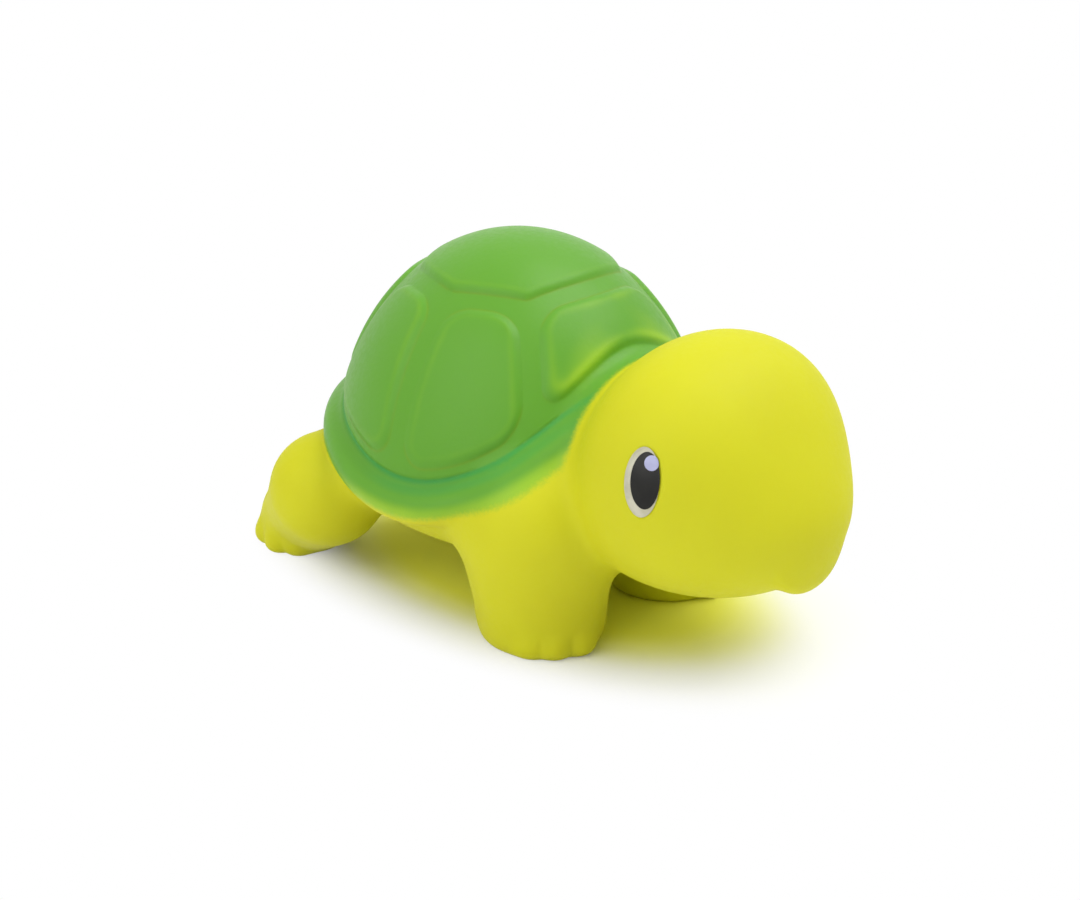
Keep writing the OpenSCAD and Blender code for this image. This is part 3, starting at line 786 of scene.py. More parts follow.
@dataclass
class ShellPlan:
    """The dome, its rolled rim and the plan of its seven plates."""

    dome: Ellipsoid = Ellipsoid((-10.8, 0, 22.8), (67, 62.5, 80.4))
    groove_side_z: float = 28.1
    groove_front_z: float = 47.5
    groove_rear_z: float = 35.6
    groove_line_r: float = 0.4
    groove_line_out: float = 0.15
    groove_line_blend: float = 0.4
    rim_out: float = 2.8
    rim_drop: float = 1.2
    rim_tall: float = 6.8
    rim_deep: float = 7.6
    rim_blend: float = 1.6
    plate_rise: float = 0.65
    plate_flank: float = 1.7
    plate_corner: float = 4.5
    plate_margin: float = 1.8
    valley_wid: float = 3.2
    top_plate_angle: float = 55
    straight_share: float = 0.5
    hexagon_blend: float = 0.03
    hexagon_widest: float = 80
    sunk_share: float = 0.7
    sunk_turns: Pair = (58, 84)
    sectors: tuple[Pair, ...] = ((-43, 43), (43, 88.5), (88.5, 138), (138, 222))

    def turn(self, p: Array) -> tuple[Array, Array]:
        """Direction round the dome in radians, and distance from its axis."""
        x, y = p[:, 0] - self.dome.middle[0], p[:, 1]
        return np.arctan2(y, x), np.hypot(x, y)

    def groove_z(self, t: Array) -> Array:
        """Height of the groove in direction t.

        Args:
            t: the directions, in radians.

        Returns:
            The heights.
        """
        wave = (self.groove_front_z - self.groove_rear_z) / 2
        lift = (self.groove_front_z + self.groove_rear_z) / 2 - self.groove_side_z
        c = np.cos(t)
        return self.groove_side_z + wave * c * (4 * c * c - 1) / 3 + lift * c * c

    def groove_over(self, p: Array) -> Array:
        """Height of the groove in the direction of each point."""
        return self.groove_z(self.turn(p)[0])

    def reach(self, t: Array, z: Array) -> Array:
        """Half-width of the dome in direction t at height z, never quite zero.

        Args:
            t: the directions, in radians.
            z: the heights.

        Returns:
            The half-widths.
        """
        rx, ry, rz = (s / 2 for s in self.dome.sizes)
        share = np.sqrt(np.maximum(1 - ((z - self.dome.middle[2]) / rz) ** 2, 0.02))
        return share / np.hypot(np.cos(t) / rx, np.sin(t) / ry)

    def gap(self, p: Array) -> Array:
        """Distance from the dome and its rim, before the plates are raised.

        Args:
            p: the points, in millimetres.

        Returns:
            The distances, negative inside.
        """
        t, r = self.turn(p)
        top = self.groove_z(t)
        middle = top - self.rim_drop - self.rim_tall / 2
        half = np.array([self.rim_deep, self.rim_tall]) / 2
        across = r - self.reach(t, middle) - self.rim_out + half[0]
        rim = oval_gap(np.stack([across, p[:, 2] - middle], -1) / half, half)
        dome = blend_max(self.dome.gap(p), middle - p[:, 2], self.rim_blend)
        shell = blend_min(dome, rim, self.rim_blend)
        line = np.hypot(r - self.reach(t, top) - self.groove_line_out, p[:, 2] - top)
        return blend_max(shell, self.groove_line_r - line, self.groove_line_blend)

    def around(self, p: Array) -> tuple[Array, Array]:
        """Direction from the dome's middle in its own proportions, as arrows and as a turn.

        Args:
            p: the points, in millimetres.

        Returns:
            The arrows, and the turns in degrees from the front.
        """
        w = (p - self.dome.middle) / (np.array(self.dome.sizes) / 2)
        w /= np.linalg.norm(w, axis=1, keepdims=True)
        return w, np.degrees(np.abs(np.arctan2(w[:, 1], w[:, 0])))

    def plate_share(self, p: Array) -> Array:
        """Share of the full rise: the side plates sink towards their rear edge.

        Args:
            p: the points, in millimetres.

        Returns:
            The shares, from 0 to 1.
        """
        w, turn = self.around(p)
        under_top = w[:, 2] < math.sin(math.radians(self.top_plate_angle))
        on_side = (turn < self.sectors[1][1]) & under_top
        return 1 - self.sunk_share * smooth_step(turn, *self.sunk_turns) * on_side

    def plate_edge(self, p: Array) -> Array:
        """Distance inside the nearest edge of a plate, negative in the valleys.

        Args:
            p: the points, in millimetres.

        Returns:
            The distances.
        """
        rx, ry, rz = (s / 2 for s in self.dome.sizes)
        w, turn = self.around(p)
        height = np.degrees(np.arcsin(w[:, 2]))
        across = math.pi / 180 * (rx + ry) / 2 * np.cos(np.radians(height))
        up = math.pi / 180 * ((rx + ry) / 2 + rz) / 2
        half = self.valley_wid / 2
        pull = np.full(len(p), FAR)
        side = np.full(len(p), -FAR)
        for low, high in self.sectors:
            reach = math.cos(math.radians((high - low) / 2))
            lean = np.radians(np.minimum(np.abs(turn - (low + high) / 2), self.hexagon_widest))
            pull = blend_min(pull, 1 - self.straight_share * (1 - reach / np.cos(lean)),
                             self.hexagon_blend)
            side = np.maximum(side, np.minimum(turn - low, high - turn) * across - half)
        top = 90 - 2 * np.degrees(np.arctan(
            math.tan(math.radians((90 - self.top_plate_angle) / 2)) * pull))
        groove = (self.groove_over(p) - self.dome.middle[2]) / rz
        foot = np.degrees(np.arcsin(np.clip(groove, -0.9, 0.9)))
        ends = np.minimum((top - height) * up - half, (height - foot) * up - self.plate_margin)
        corner = self.plate_corner
        past = np.hypot(np.maximum(corner - side, 0), np.maximum(corner - ends, 0))
        return np.maximum(corner - past, (height - top) * up - half)


@dataclass(frozen=True)
class SprayPlan:
    """Where the green lies, by the depth below the groove and the turn from the front.

    A pair is where a change starts and where it ends, except that for a band it is the middle
    and the half-width of a bell curve.
    """

    foot: float = 5.9
    foot_lower_behind: float = 2.4
    behind: Pair = (96, 124)
    edge_width: float = 3.0
    hip_margin: float = 0.4
    coat: float = 0.5
    rim_more: float = 0.28
    rim_band: Pair = (1.4, 1.0)
    rim_fade_share: float = 0.75
    rim_fade: Pair = (84, 112)
    groove_more: float = 0.4
    groove_band: Pair = (0.1, 0.45)
    front_less: float = 0.3
    front_turn_band: Pair = (20, 16)
    front_depth_band: Pair = (-4, 5)
    foot_less: float = 0.45
    foot_fade: Pair = (1.8, -0.6)
    foot_behind_share: float = 0.6
    ridge_less: float = 0.18
    ridge_band: Pair = (1.7, 1.0)
    crease_shade_thin_paint_band: Pair = (0.0, 0.22)
    low_lines: Pair = (6.5, 4)
    side_lines: Pair = (30, 48)
    flank_line_band: Pair = (96, 6)
    top_lines: Pair = (52.5, 54.5)
    top_line_turn: float = 88

    def layers(self, form: CastSkin, p: Array) -> dict[str, Array]:
        """Cover and thickness of the paint, and the olive line along the plates' creases that is
        partly painted crease shade and partly thinner paint, each from 0 to 1.

        Args:
            form: the casting's sizes.
            p: points of the casting.

        Returns:
            The values at the points, by the name that the material reads.
        """
        shell, q = form.shell, mirrored(p)
        away = np.degrees(np.abs(shell.turn(p)[0]))
        below = shell.groove_over(p) - p[:, 2]
        on_dome = below < 0
        edge = shell.plate_edge(p)

        behind = smooth_step(away, *self.behind)
        foot = self.foot + self.foot_lower_behind * behind
        cast = shell.gap(q)
        others = np.minimum(np.minimum(cast, form.trunk(q, form.shy)), form.front_leg.gap(q))
        inside = np.minimum(np.minimum(foot - below, form.head(q) - others),
                            form.hip(q) - cast - self.hip_margin)
        cover = np.clip(0.5 + inside / self.edge_width, 0, 1) * (form.gap(p) > -form.wall / 2)

        fade = 1 - self.rim_fade_share * smooth_step(away, *self.rim_fade)
        thinned = smooth_step(below, self.foot_fade[0], foot + self.foot_fade[1])
        front = bell(away, *self.front_turn_band) * bell(below, *self.front_depth_band)
        depth = (self.coat
                 + self.rim_more * bell(below, *self.rim_band) * fade
                 + self.groove_more * bell(below, *self.groove_band)
                 - self.front_less * front
                 - self.foot_less * thinned * (1 - self.foot_behind_share * behind)
                 - self.ridge_less * bell(edge, *self.ridge_band) * on_dome)

        creased = np.maximum(smooth_step(-below, *self.low_lines)
                             * smooth_step(away, *self.side_lines),
                             bell(away, *self.flank_line_band))
        on_top = smooth_step(p[:, 2], *self.top_lines) * (away < self.top_line_turn)
        # A line along the plates' creases, partly painted crease shade and partly thinner paint
        line = bell(edge, *self.crease_shade_thin_paint_band) * on_dome * np.maximum(creased, on_top)
        return {"spray": cover, "spray_depth": np.clip(depth, 0, 1), "plate_line": line}


@dataclass
class CastSkin:
    """The one-piece casting: head, neck, shell, belly, legs, toes and tail."""

    shell: ShellPlan = field(default_factory=ShellPlan)
    spray: SprayPlan = SprayPlan()
    belly: Ellipsoid = Ellipsoid((-11.2, 0, 21.6), (70, 55, 26))
    neck: Ellipsoid = Ellipsoid((15.8, 0, 30), (32, 36, 34))
    crown: Ellipsoid = Ellipsoid((33.9, 0, 37.4), (34.6, 46.2, 36))
    muzzle: Ellipsoid = Ellipsoid((30.5, 0, 27.1), (53, 40, 28.8))
    beak: Ellipsoid = Ellipsoid((53.6, 0, 21.8), (4.6, 12.8, 9.2))
    tail: Limb = Limb((-27.225, 0, 20), (-46.25, 0, 20), 8.4, 2.1)
    front_leg: Limb = Limb((10.4, 17, 22), (9.8, 15.7, 4.3), 13.9, 10.6)
    front_foot: Ellipsoid = Ellipsoid((9.2, 15.7, 3.96), (21, 16.4, 13.2))
    rear_leg: Limb = Limb((-36.2, 23.4, 15.8), (-49.8, 17.4, 5.7), 10.4, 7.8)
    rear_foot: Ellipsoid = Ellipsoid((-49.8, 17.4, 3.96), (13.4, 15.2, 13.2))
    front_toes: tuple[float, ...] = (-60, -36, -6)
    rear_toes: tuple[float, ...] = (-127, -84, -51)
    toe_r: float = 2.5
    toe_tip_z: float = 2.15
    toe_reach: float = 2.4
    toe_blend: float = 2.2
    belly_blend: float = 8.0
    leg_blend: float = 4.0
    head_blend: float = 3.0
    muzzle_blend: float = 12.0
    beak_blend: float = 3.0
    foot_blend: float = 4.0
    sole_cut: float = 0.6
    sole_blend: float = 2.0
    core_inset: float = 0.6
    core_z: float = 21.0
    shy: float = 0.6
    rim_join: float = 1.6
    rim_share: float = 0.7
    shell_share_span: Pair = (-0.25, 0.45)
    wall: float = 2.4
    hollow_sole_blend: float = 1.0
    eye: tuple[float, float, float] = (38.9, 23.5, 38.2)
    eye_turn: float = 21.0
    eye_tip: float = 12.5
    eye_deep: float = 5.0
    eye_rounds: int = 12
    recess_half: Pair = (3.0, 5.7)
    recess_deep: float = 0.35
    recess_flank: Pair = (0.93, 1.03)
    net_box: tuple[float, float, float] = (62, 38, 68)
    net_under: float = -3.0
    net_step: float = 1.15
    hollow_box: tuple[float, float, float] = (60, 36, 66)
    hollow_step: float = 2.2
    plated_share: float = 0.5
    fine_share: float = 0.01
    fine_rim: float = 2.0
    fine_toes: float = 1.5
    fine_eye: float = 1.3
    fine_beak: float = 2.5
    finest_share: float = 0.3
    finest_edge: Pair = (-0.5, 1.1)
    finest_groove: Pair = (-0.3, 1.0)
    finest_print: Pair = (0.98, 0.14)
    squeaker_x: float = -12.0
    flange_r: float = 9.08
    neck_r: float = 6.6
    seat_r: float = 11.4
    seat_low: float = 10.0
    seat_high: float = 12.4
    tool_past: float = 1.0
    floor_tool_r: float = 90.0
    floor_tool_low: float = -9.0

    def toes(self, p: Array) -> Array:
        """Distance from the lobes of the six toes on one side.

        Args:
            p: the points, in millimetres.

        Returns:
            The distances, negative inside.
        """
        near = np.full(len(p), FAR)
        for foot, turns in ((self.front_foot, self.front_toes), (self.rear_foot, self.rear_toes)):
            middle, half = np.array(foot.middle), np.array(foot.sizes) / 2
            for turn in turns:
                out = np.array([math.cos(math.radians(turn)), -math.sin(math.radians(turn)), 0])
                edge = (middle + out * half) * (1, 1, 0)
                tip = edge + out * (self.toe_reach - self.toe_r) + (0, 0, self.toe_tip_z)
                root = edge - out * 2 * self.toe_r + (0, 0, self.toe_r)
                lobe = Limb(tuple(tip), tuple(root), self.toe_r, self.toe_tip_z)
                near = np.minimum(near, lobe.gap(p))
        return near

    def legs(self, p: Array) -> Array:
        """Distance from the legs and feet of one side."""
        front = blend_min(self.front_leg.gap(p), self.front_foot.gap(p), self.foot_blend)
        return np.minimum(front, self.hip(p))

    def hip(self, p: Array) -> Array:
        """Distance from the rear leg and foot of one side."""
        return blend_min(self.rear_leg.gap(p), self.rear_foot.gap(p), self.foot_blend)

    def head(self, p: Array) -> Array:
        """Distance from the head."""
        return blend_min(blend_min(self.crown.gap(p), self.muzzle.gap(p), self.muzzle_blend),
                         self.beak.gap(p), self.beak_blend)

    def trunk(self, p: Array, shy: float) -> Array:
        """Distance from belly, neck, tail and the body under the shell.

        Args:
            p: the points, on the left side.
            shy: how much further in the body lies for each millimetre above the rim's foot.

        Returns:
            The distances, negative inside.
        """
        foot = self.shell.groove_over(p) - self.shell.rim_tall * self.rim_share
        above = np.maximum(p[:, 2] - foot, 0)
        core = blend_max(self.shell.dome.gap(p) + self.core_inset + shy * above,
                         self.core_z - p[:, 2], self.belly_blend)
        body = blend_min(self.belly.gap(p), core, self.belly_blend)
        body = blend_min(body, self.neck.gap(p), self.belly_blend)
        return blend_min(body, self.tail.gap(p), self.foot_blend)

    def eye_frame(self) -> tuple[Array, Array, Array, Array]:
        """Middle of the left eye on the skin, and its directions out, ahead and up.

        Returns:
            The point and three unit arrows.
        """
        turn, tip = math.radians(self.eye_turn), math.radians(self.eye_tip)
        flat = math.cos(tip)
        out = np.array([math.sin(turn) * flat, math.cos(turn) * flat, math.sin(tip)])
        ahead = np.array([math.cos(turn), -math.sin(turn), 0])
        p = np.array([self.eye])
        for _ in range(self.eye_rounds):
            p = p - out * self.head(p)[:, None]
        return p[0], out, ahead, np.cross(ahead, out)

    def eye_place(self, p: Array) -> Array:
        """Distance of the points from the eye's axis, in half sizes of the recess.

        Args:
            p: the points, in millimetres.

        Returns:
            The distances, and FAR for a point too deep in or too far out.
        """
        middle, out, ahead, up = self.eye_frame()
        q = p - middle
        away = np.hypot(q @ ahead / self.recess_half[0], q @ up / self.recess_half[1])
        return np.where(np.abs(q @ out) < self.eye_deep, away, FAR)

    def gap(self, p: Array) -> Array:
        """Distance from the outside of the skin.

        Args:
            p: the points, in millimetres.

        Returns:
            The distances, negative inside.
        """
        q = mirrored(p)
        feet = blend_min(self.legs(q), self.toes(q), self.toe_blend)
        feet = blend_max(feet, -self.sole_cut - q[:, 2], self.sole_blend)
        body = blend_min(self.trunk(q, self.shy), feet, self.leg_blend)
        recess = 1 - smooth_step(self.eye_place(q), *self.recess_flank)
        body = blend_min(body, self.head(q) + self.recess_deep * recess, self.head_blend)
        return blend_min(body, self.shell.gap(q), self.rim_join)

    def hollow_gap(self, p: Array) -> Array:
        """Distance from the hollow inside.

        Args:
            p: the points, in millimetres.

        Returns:
            The distances, negative inside.
        """
        q = mirrored(p)
        room = blend_min(self.trunk(q, 0.0), self.head(q), self.leg_blend)
        room = room + self.wall - self.core_inset
        legs = blend_max(self.legs(q) + self.wall, self.wall - q[:, 2], self.hollow_sole_blend)
        return blend_min(room, legs, self.leg_blend)

    def shell_share(self, p: Array) -> Array:
        """1 on the dome and rim, 0 on the head and the yellow body.

        Args:
            p: the points, in millimetres.

        Returns:
            The shares.
        """
        q = mirrored(p)
        body = np.minimum(np.minimum(self.trunk(q, self.shy), self.legs(q)), self.head(q))
        return smooth_step(body - self.shell.gap(q), *self.shell_share_span)

    def fine_areas(self, p: Array) -> Array:
        """Whether each point is on the shell, a toe, the beak or an eye.

        Args:
            p: the points, in millimetres.

        Returns:
            True where the net is cut finer once.
        """
        q = mirrored(p)
        foot = self.shell.groove_over(p) - self.shell.rim_tall - self.fine_rim
        on_shell = (p[:, 2] > foot) & (self.shell_share(p) > self.fine_share)
        detail = ((self.toes(q) < self.fine_toes) | (self.eye_place(q) < self.fine_eye)
                  | (self.beak.gap(q) < self.fine_beak))
        return on_shell | detail

    def finest_areas(self, p: Array) -> Array:
        """Whether each point is at a plate's edge, in the groove or at the edge of an eye.

        Args:
            p: the points, in millimetres.

        Returns:
            True where the net is cut finer again.
        """
        above, edge = p[:, 2] - self.shell.groove_over(p), self.shell.plate_edge(p)
        crease = (above > 0) & (edge > self.finest_edge[0]) & (edge < self.finest_edge[1])
        groove = np.abs(above - self.finest_groove[0]) < self.finest_groove[1]
        print_edge = np.abs(self.eye_place(mirrored(p)) - self.finest_print[0])
        return ((crease | groove) & (self.shell_share(p) > self.finest_share)
                | (print_edge < self.finest_print[1]))

    def outside(self) -> SurfaceNet:
        """The net over the outside, finer on the shell and finest along the plates' edges.

        Returns:
            The net.
        """
        x, y, z = self.net_box
        net = SurfaceNet(self.gap, (-x, -y, self.net_under), (x, y, z), self.net_step)
        net.lay()
        net.settle(3)
        net.relax(3)
        net.refine(self.fine_areas(net.middles()))
        net.settle(2)
        net.relax(2)
        net.refine(self.finest_areas(net.middles()))
        net.settle(3)
        return net

    def carve(self, skin: bpy.types.Object) -> None:
        """Takes the hollow, the squeaker's hole and pocket, and all below the floor away.

        Args:
            skin: the casting.
        """
        x, y, z = self.hollow_box
        net = SurfaceNet(self.hollow_gap, (-x, -y, 0), (x, y, z), self.hollow_step)
        net.lay()
        net.settle(3)
        net.relax(2)
        tool, past = as_object("hollow_tool", net.points, net.triangles), self.tool_past
        for name, r, low, high, way in (
                ("seat_tool", self.seat_r, 0, self.seat_high, "DIFFERENCE"),
                ("bore_tool", self.neck_r, -past, self.seat_high + past, "UNION"),
                ("pocket_tool", self.flange_r, -past, self.seat_low, "UNION")):
            combine(tool, cylinder(name, self.squeaker_x, r, low, high), way)
        combine(skin, tool, "DIFFERENCE")
        under = cylinder("floor_tool", 0, self.floor_tool_r, self.floor_tool_low, 0, 4)
        combine(skin, under, "DIFFERENCE")

    def plate_tree(self) -> bpy.types.NodeTree:
        """The tree that raises the plates with rolled flanks along the skin's normals.

        Returns:
            The tree.
        """
        w, given = new_tree("raise_plates", Rise="Float", Flank="Float", Material="Material")
        edge, part = (w.add("GeometryNodeInputNamedAttribute", {"Name": name},
                            data_type="FLOAT")[0] for name in ("plate_edge", "plate_share"))
        share = w.add("ShaderNodeMath", (edge, given["Flank"]), operation="DIVIDE",
                      use_clamp=True)[0]
        roll = w.add("ShaderNodeMath", (share, math.pi / 2), operation="MULTIPLY")[0]
        height = w.add("ShaderNodeMath", (roll,), operation="SINE")[0]
        for factor in (given["Rise"], part):
            height = w.add("ShaderNodeMath", (height, factor), operation="MULTIPLY")[0]
        normal = w.add("GeometryNodeInputNormal")[0]
        offset = w.add("ShaderNodeVectorMath", {0: normal, "Scale": height},
                       operation="SCALE")[0]
        raised = w.add("GeometryNodeSetPosition",
                       {"Geometry": given["Geometry"], "Offset": offset})[0]
        w.end_geometry(raised, given["Material"])
        return w.tree

    def build(self, finish: SprayedVinyl) -> bpy.types.Object:
        """Makes the skin.

        Args:
            finish: what the skin is made of.

        Returns:
            The finished piece.
        """
        net = self.outside()
        skin = as_object("turtle_skin", net.points, net.triangles)
        above = net.points[:, 2] - self.shell.groove_over(net.points)
        on_dome = (above > 0) & (self.shell_share(net.points) > self.plated_share)
        edge = np.where(on_dome, self.shell.plate_edge(net.points), -1)
        store(skin, {"plate_edge": edge * MM, "plate_share": self.shell.plate_share(net.points)})
        material = finish.make()
        run_tree(skin, self.plate_tree(), {"Rise": self.shell.plate_rise * MM,
                                           "Flank": self.shell.plate_flank * MM,
                                           "Material": material})
        self.carve(skin)
        skin.data.materials.clear()
        skin.data.materials.append(material)
        skin.data.shade_smooth()
        points = np.zeros(len(skin.data.vertices) * 3)
        skin.data.vertices.foreach_get("co", points)
        store(skin, self.spray.layers(self, points.reshape(-1, 3) / MM))
        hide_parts("body_skin")
        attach(skin, "toy")
        return skin


# The printed eyes


@dataclass
class InkLayer:
    """One printed oval on both sides of the head."""

    name: str
    node: str
    slot: Slot
    ink: PadInk
    wide: float
    tall: float
    ahead: float
    up: float
    lift: float
    thick: float


@dataclass
class PrintedEyes:
    """White, pupil and highlight, each laid on the skin by a Geometry Nodes tree."""

    layers: tuple[InkLayer, ...] = (
        InkLayer("eye_white_print", "eye_whites", Slot.WHITE,
                 PadInk("white_pad_ink", "#cbc8b4", "#bbb79f"), 5.8, 11.2, -0.25, 0, 0.1, 0.24),
        InkLayer("eye_pupil_print", "eye_pupils", Slot.BLACK,
                 PadInk("black_pad_ink", "#0c0b08", "#151410"), 4.9, 9.1, 0.3, 0.35, 0.25, 0.16),
        InkLayer("eye_glint_print", "eye_glints", Slot.LAVENDER,
                 PadInk("lavender_pad_ink", "#b2b4d6", "#a6a8cc"), 2.4, 2.4, 1.15, 3.3, 0.37, 0.14),
    )
    measures: tuple[str, ...] = ("wide", "tall", "ahead", "up", "lift", "thick")
    edge_power: float = 0.35
    segments: int = 72
    rings: int = 28
    start_out: float = 6.0
    ray: float = 20.0

    def tree(self, skin: bpy.types.Object, form: CastSkin) -> bpy.types.NodeTree:
        """The tree that lays an oval film on the head, and its mirror image on the other side.

        Args:
            skin: the casting that carries the print.
            form: the casting's sizes, for the place of the eye.

        Returns:
            The tree.
        """
        kinds = {name.capitalize(): "Float" for name in self.measures}
        w, given = new_tree("lay_ink", **kinds, Material="Material")
        middle, out, ahead, up = form.eye_frame()
        ball = w.add("GeometryNodeMeshUVSphere", {"Segments": self.segments,
                                                  "Rings": self.rings, "Radius": 1.0})["Mesh"]
        part = w.add("ShaderNodeSeparateXYZ", (w.add("GeometryNodeInputPosition")[0],))
        size = w.add("ShaderNodeMath", (part[2],), operation="ABSOLUTE")[0]
        size = w.add("ShaderNodeMath", (size, self.edge_power), operation="POWER")[0]
        sign = w.add("ShaderNodeMath", (part[2],), operation="SIGN")[0]
        film = w.add("ShaderNodeMath", (sign, size), operation="MULTIPLY")[0]
        shifts = []
        for arrow, share, full, base in ((ahead, part[0], "Wide", "Ahead"),
                                         (up, part[1], "Tall", "Up"),
                                         (out, film, "Thick", "Lift")):
            half = w.add("ShaderNodeMath", (given[full], 0.5), operation="MULTIPLY")[0]
            size = w.add("ShaderNodeMath", (share, half, given[base]),
                         operation="MULTIPLY_ADD")[0]
            shifts.append(w.add("ShaderNodeVectorMath", {0: tuple(arrow), "Scale": size},
                                operation="SCALE")[0])
        across, upward, outward = shifts
        start = tuple((middle + out * self.start_out) * MM)
        flat = w.add("ShaderNodeVectorMath", (across, upward), operation="ADD")[0]
        above = w.add("ShaderNodeVectorMath", (start, flat), operation="ADD")[0]
        target = w.add("GeometryNodeObjectInfo", {"Object": skin})["Geometry"]
        ray = w.add("GeometryNodeRaycast",
                    {"Target Geometry": target, "Source Position": above,
                     "Ray Direction": tuple(-out), "Ray Length": self.ray * MM})
        laid = w.add("ShaderNodeVectorMath", (ray["Hit Position"], outward), operation="ADD")[0]
        oval = w.add("GeometryNodeSetPosition", {"Geometry": ball, "Position": laid})[0]
        oval = w.add("GeometryNodeSetShadeSmooth", (oval,))[0]
        other = w.add("GeometryNodeTransform", {"Geometry": oval, "Scale": (1, -1, 1)})[0]
        oval = w.add("GeometryNodeFlipFaces", (oval,))[0]
        both = w.tree.nodes.new("GeometryNodeJoinGeometry")
        for side in (oval, other):
            w.fill(both, {0: side})
        w.end_geometry(both.outputs[0], given["Material"])
        return w.tree

    def build(self, skin: bpy.types.Object, form: CastSkin) -> list[bpy.types.Object]:
        """Makes the printed layers.

        Args:
            skin: the casting that carries the print.
            form: the casting's sizes.

        Returns:
            One piece for each ink.
        """
        tree, made = self.tree(skin, form), []
        for layer in self.layers:
            piece = as_object(layer.name, np.zeros((0, 3)), [])
            material = layer.ink.make()
            values = {name.capitalize(): getattr(layer, name) * MM for name in self.measures}
            run_tree(piece, tree, {**values, "Material": material})
            if not piece.data.materials:
                piece.data.materials.append(material)
            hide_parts(layer.node)
            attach(piece, "toy")
            made.append(piece)
        return made


@dataclass
class Squeaker:
    """The squeaker's pieces keep their CAD shapes and get the finish of real ones."""

    plastic: MouldedPolyethylene = MouldedPolyethylene()
    strip: CutPolyester = CutPolyester()
    plastic_nodes: tuple[str, ...] = ("squeaker_housing", "reed_block", "reed_wedge")
    strip_nodes: tuple[str, ...] = ("reed",)

    def build(self) -> list[bpy.types.Object]:
        """Dresses the pieces.

        Returns:
            The four pieces.
        """
        made = []
        for finish, names in ((self.plastic, self.plastic_nodes), (self.strip, self.strip_nodes)):
            material = finish.make()
            for name in names:
                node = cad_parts[name]
                for slot in node.material_slots:
                    slot.material = material
                made.append(node)
        return made


# The studio


@dataclass(frozen=True)
class SoftBox:
    """A square lamp, with place and aim in metres."""

    name: str
    place: tuple[float, float, float]
    size: float
    watts: float
    aim: tuple[float, float, float] = (0, 0, 0.03)

    def hang(self) -> None:
        """Adds the lamp."""
        data = bpy.data.lights.new(self.name, "AREA")
        data.shape, data.size, data.energy = "SQUARE", self.size, self.watts
        made = put_in_scene(self.name, data)
        made.location = self.place
        x, y, z = np.array(self.aim) - self.place
        made.rotation_euler = (math.atan2(math.hypot(x, y), -z), 0, math.atan2(y, x) - math.pi / 2)


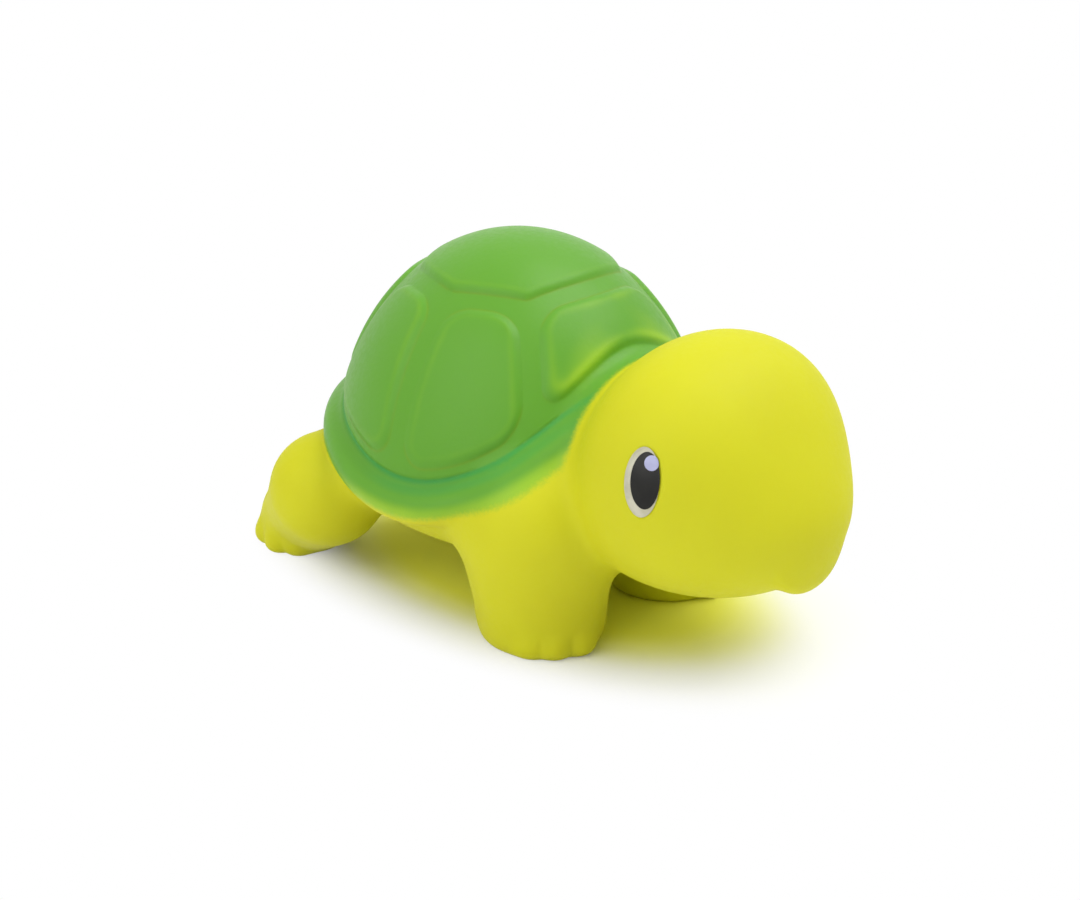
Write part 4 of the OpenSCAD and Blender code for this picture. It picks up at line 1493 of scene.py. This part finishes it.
@dataclass
class Studio:
    """A pale floor, soft light and the camera of the photograph."""

    target: tuple[float, float, float] = (-6.09, 0, 24.91)
    azimuth: float = 44.657
    elevation: float = 21.334
    distance: float = 402.62
    lens: float = 76.50
    floor_half: float = 3000.0
    floor_colour: str = "#f4f4f2"
    # Painted yellow bounce light: the floor's colour near the toy, standing in for light bounced
    # from the yellow toy
    painted_bounce_yellow: str = "#f6f65c"
    shadow_middle: Pair = (-10, 6)
    shadow_half: Pair = (72, 40)
    painted_bounce_fade: Pair = (0.48, 0.8)
    shadow_fade: Pair = (0.62, 1.05)
    sky: float = 0.64
    sky_rise: Pair = (0.0, 0.6)
    lamps: tuple[SoftBox, ...] = (
        SoftBox("key_soft_box", (0.25, 0.33, 0.91), 0.8, 7.2),
        SoftBox("fill_soft_box", (-0.05, -0.85, 0.55), 1.0, 4.5),
    )

    def camera(self) -> None:
        """Places the camera."""
        a, e = math.radians(self.azimuth), math.radians(self.elevation)
        back = np.array([math.sin(a) * math.cos(e), -math.cos(a) * math.cos(e), math.sin(e)])
        data = bpy.data.cameras.new("photo_camera")
        data.lens, data.sensor_width = self.lens, 36.0
        data.clip_start, data.clip_end = 0.01, 20.0
        made = put_in_scene("photo_camera", data)
        made.location = (np.array(self.target) + back * self.distance) * MM
        made.rotation_mode = "XYZ"
        made.rotation_euler = (math.radians(90) - e, 0, a)
        bpy.context.scene.camera = made

    def floor(self) -> bpy.types.Object:
        """The pale floor, which shows the toy's shadow with a painted yellow bounce light near the
        toy, and turns plain white further out.

        Returns:
            The floor.
        """
        corners = np.array([[-1, -1, 0], [1, -1, 0], [1, 1, 0], [-1, 1, 0]]) * self.floor_half
        made = as_object("studio_floor", corners, [[0, 1, 2, 3]], False)
        material, w = start_material("pale_floor", Roughness=0.9)
        from_middle = [-m / h for m, h in zip(self.shadow_middle, self.shadow_half)]
        shrunk = [1 / (h * MM) for h in self.shadow_half]
        place = w.add("ShaderNodeTexCoord")["Object"]
        oval = w.add("ShaderNodeMapping", {"Vector": place, "Location": (*from_middle, 0),
                                           "Scale": (*shrunk, 1)})[0]
        away = w.add("ShaderNodeVectorMath", (oval,), operation="LENGTH")["Value"]
        painted_bounce, far = (w.add("ShaderNodeMapRange", (away, *fade), **SMOOTH)[0]
                     for fade in (self.painted_bounce_fade, self.shadow_fade))
        # Near the toy the floor's colour is a painted yellow bounce light, fading out to the plain
        # floor colour
        colour = w.add("ShaderNodeMix", {0: painted_bounce, 6: self.painted_bounce_yellow, 7: self.floor_colour},
                       data_type="RGBA")[2]
        w.dress(Base_Color=colour)
        w.end_white(far, w.tree.nodes["Principled BSDF"].outputs[0], "ShaderNodeEmission")
        made.data.materials.append(material)
        return made

    def world(self) -> None:
        """White where the camera and reflections look, and soft sky light on the toy."""
        made = bpy.data.worlds.new("studio")
        made.use_nodes = True
        w = Wiring(made.node_tree)
        plain = w.tree.nodes["Background"]
        way = w.add("ShaderNodeTexCoord")["Generated"]
        rise = w.add("ShaderNodeSeparateXYZ", (way,))[2]
        glow = w.add("ShaderNodeMapRange", (rise, *self.sky_rise, 0.0, self.sky), **SMOOTH)[0]
        w.fill(plain, {"Color": (1, 1, 1, 1), "Strength": glow})
        w.end_white(None, plain.outputs[0], "ShaderNodeBackground")
        bpy.context.scene.world = made

    def build(self) -> None:
        """Sets the stage."""
        self.camera()
        self.floor()
        self.world()
        for lamp in self.lamps:
            lamp.hang()
        bpy.context.scene.view_settings.view_transform = "Standard"


def report(piece: bpy.types.Object) -> None:
    """Logs a piece's name, faces and box.

    Args:
        piece: the piece.
    """
    p = np.array([v.co for v in piece.data.vertices]) / MM
    log.info("%s: %d faces, %s to %s mm", piece.name, len(piece.data.polygons),
             p.min(0).round(1).tolist(), p.max(0).round(1).tolist())


def main() -> None:
    """Builds the stage and the toy, and reports each piece."""
    logging.basicConfig(level=logging.INFO, format="%(message)s", stream=sys.stdout)
    Studio().build()
    form = CastSkin()
    skin = form.build(SprayedVinyl())
    for piece in (skin, *PrintedEyes().build(skin, form), *Squeaker().build()):
        report(piece)


if __name__ == "__main__":
    main()
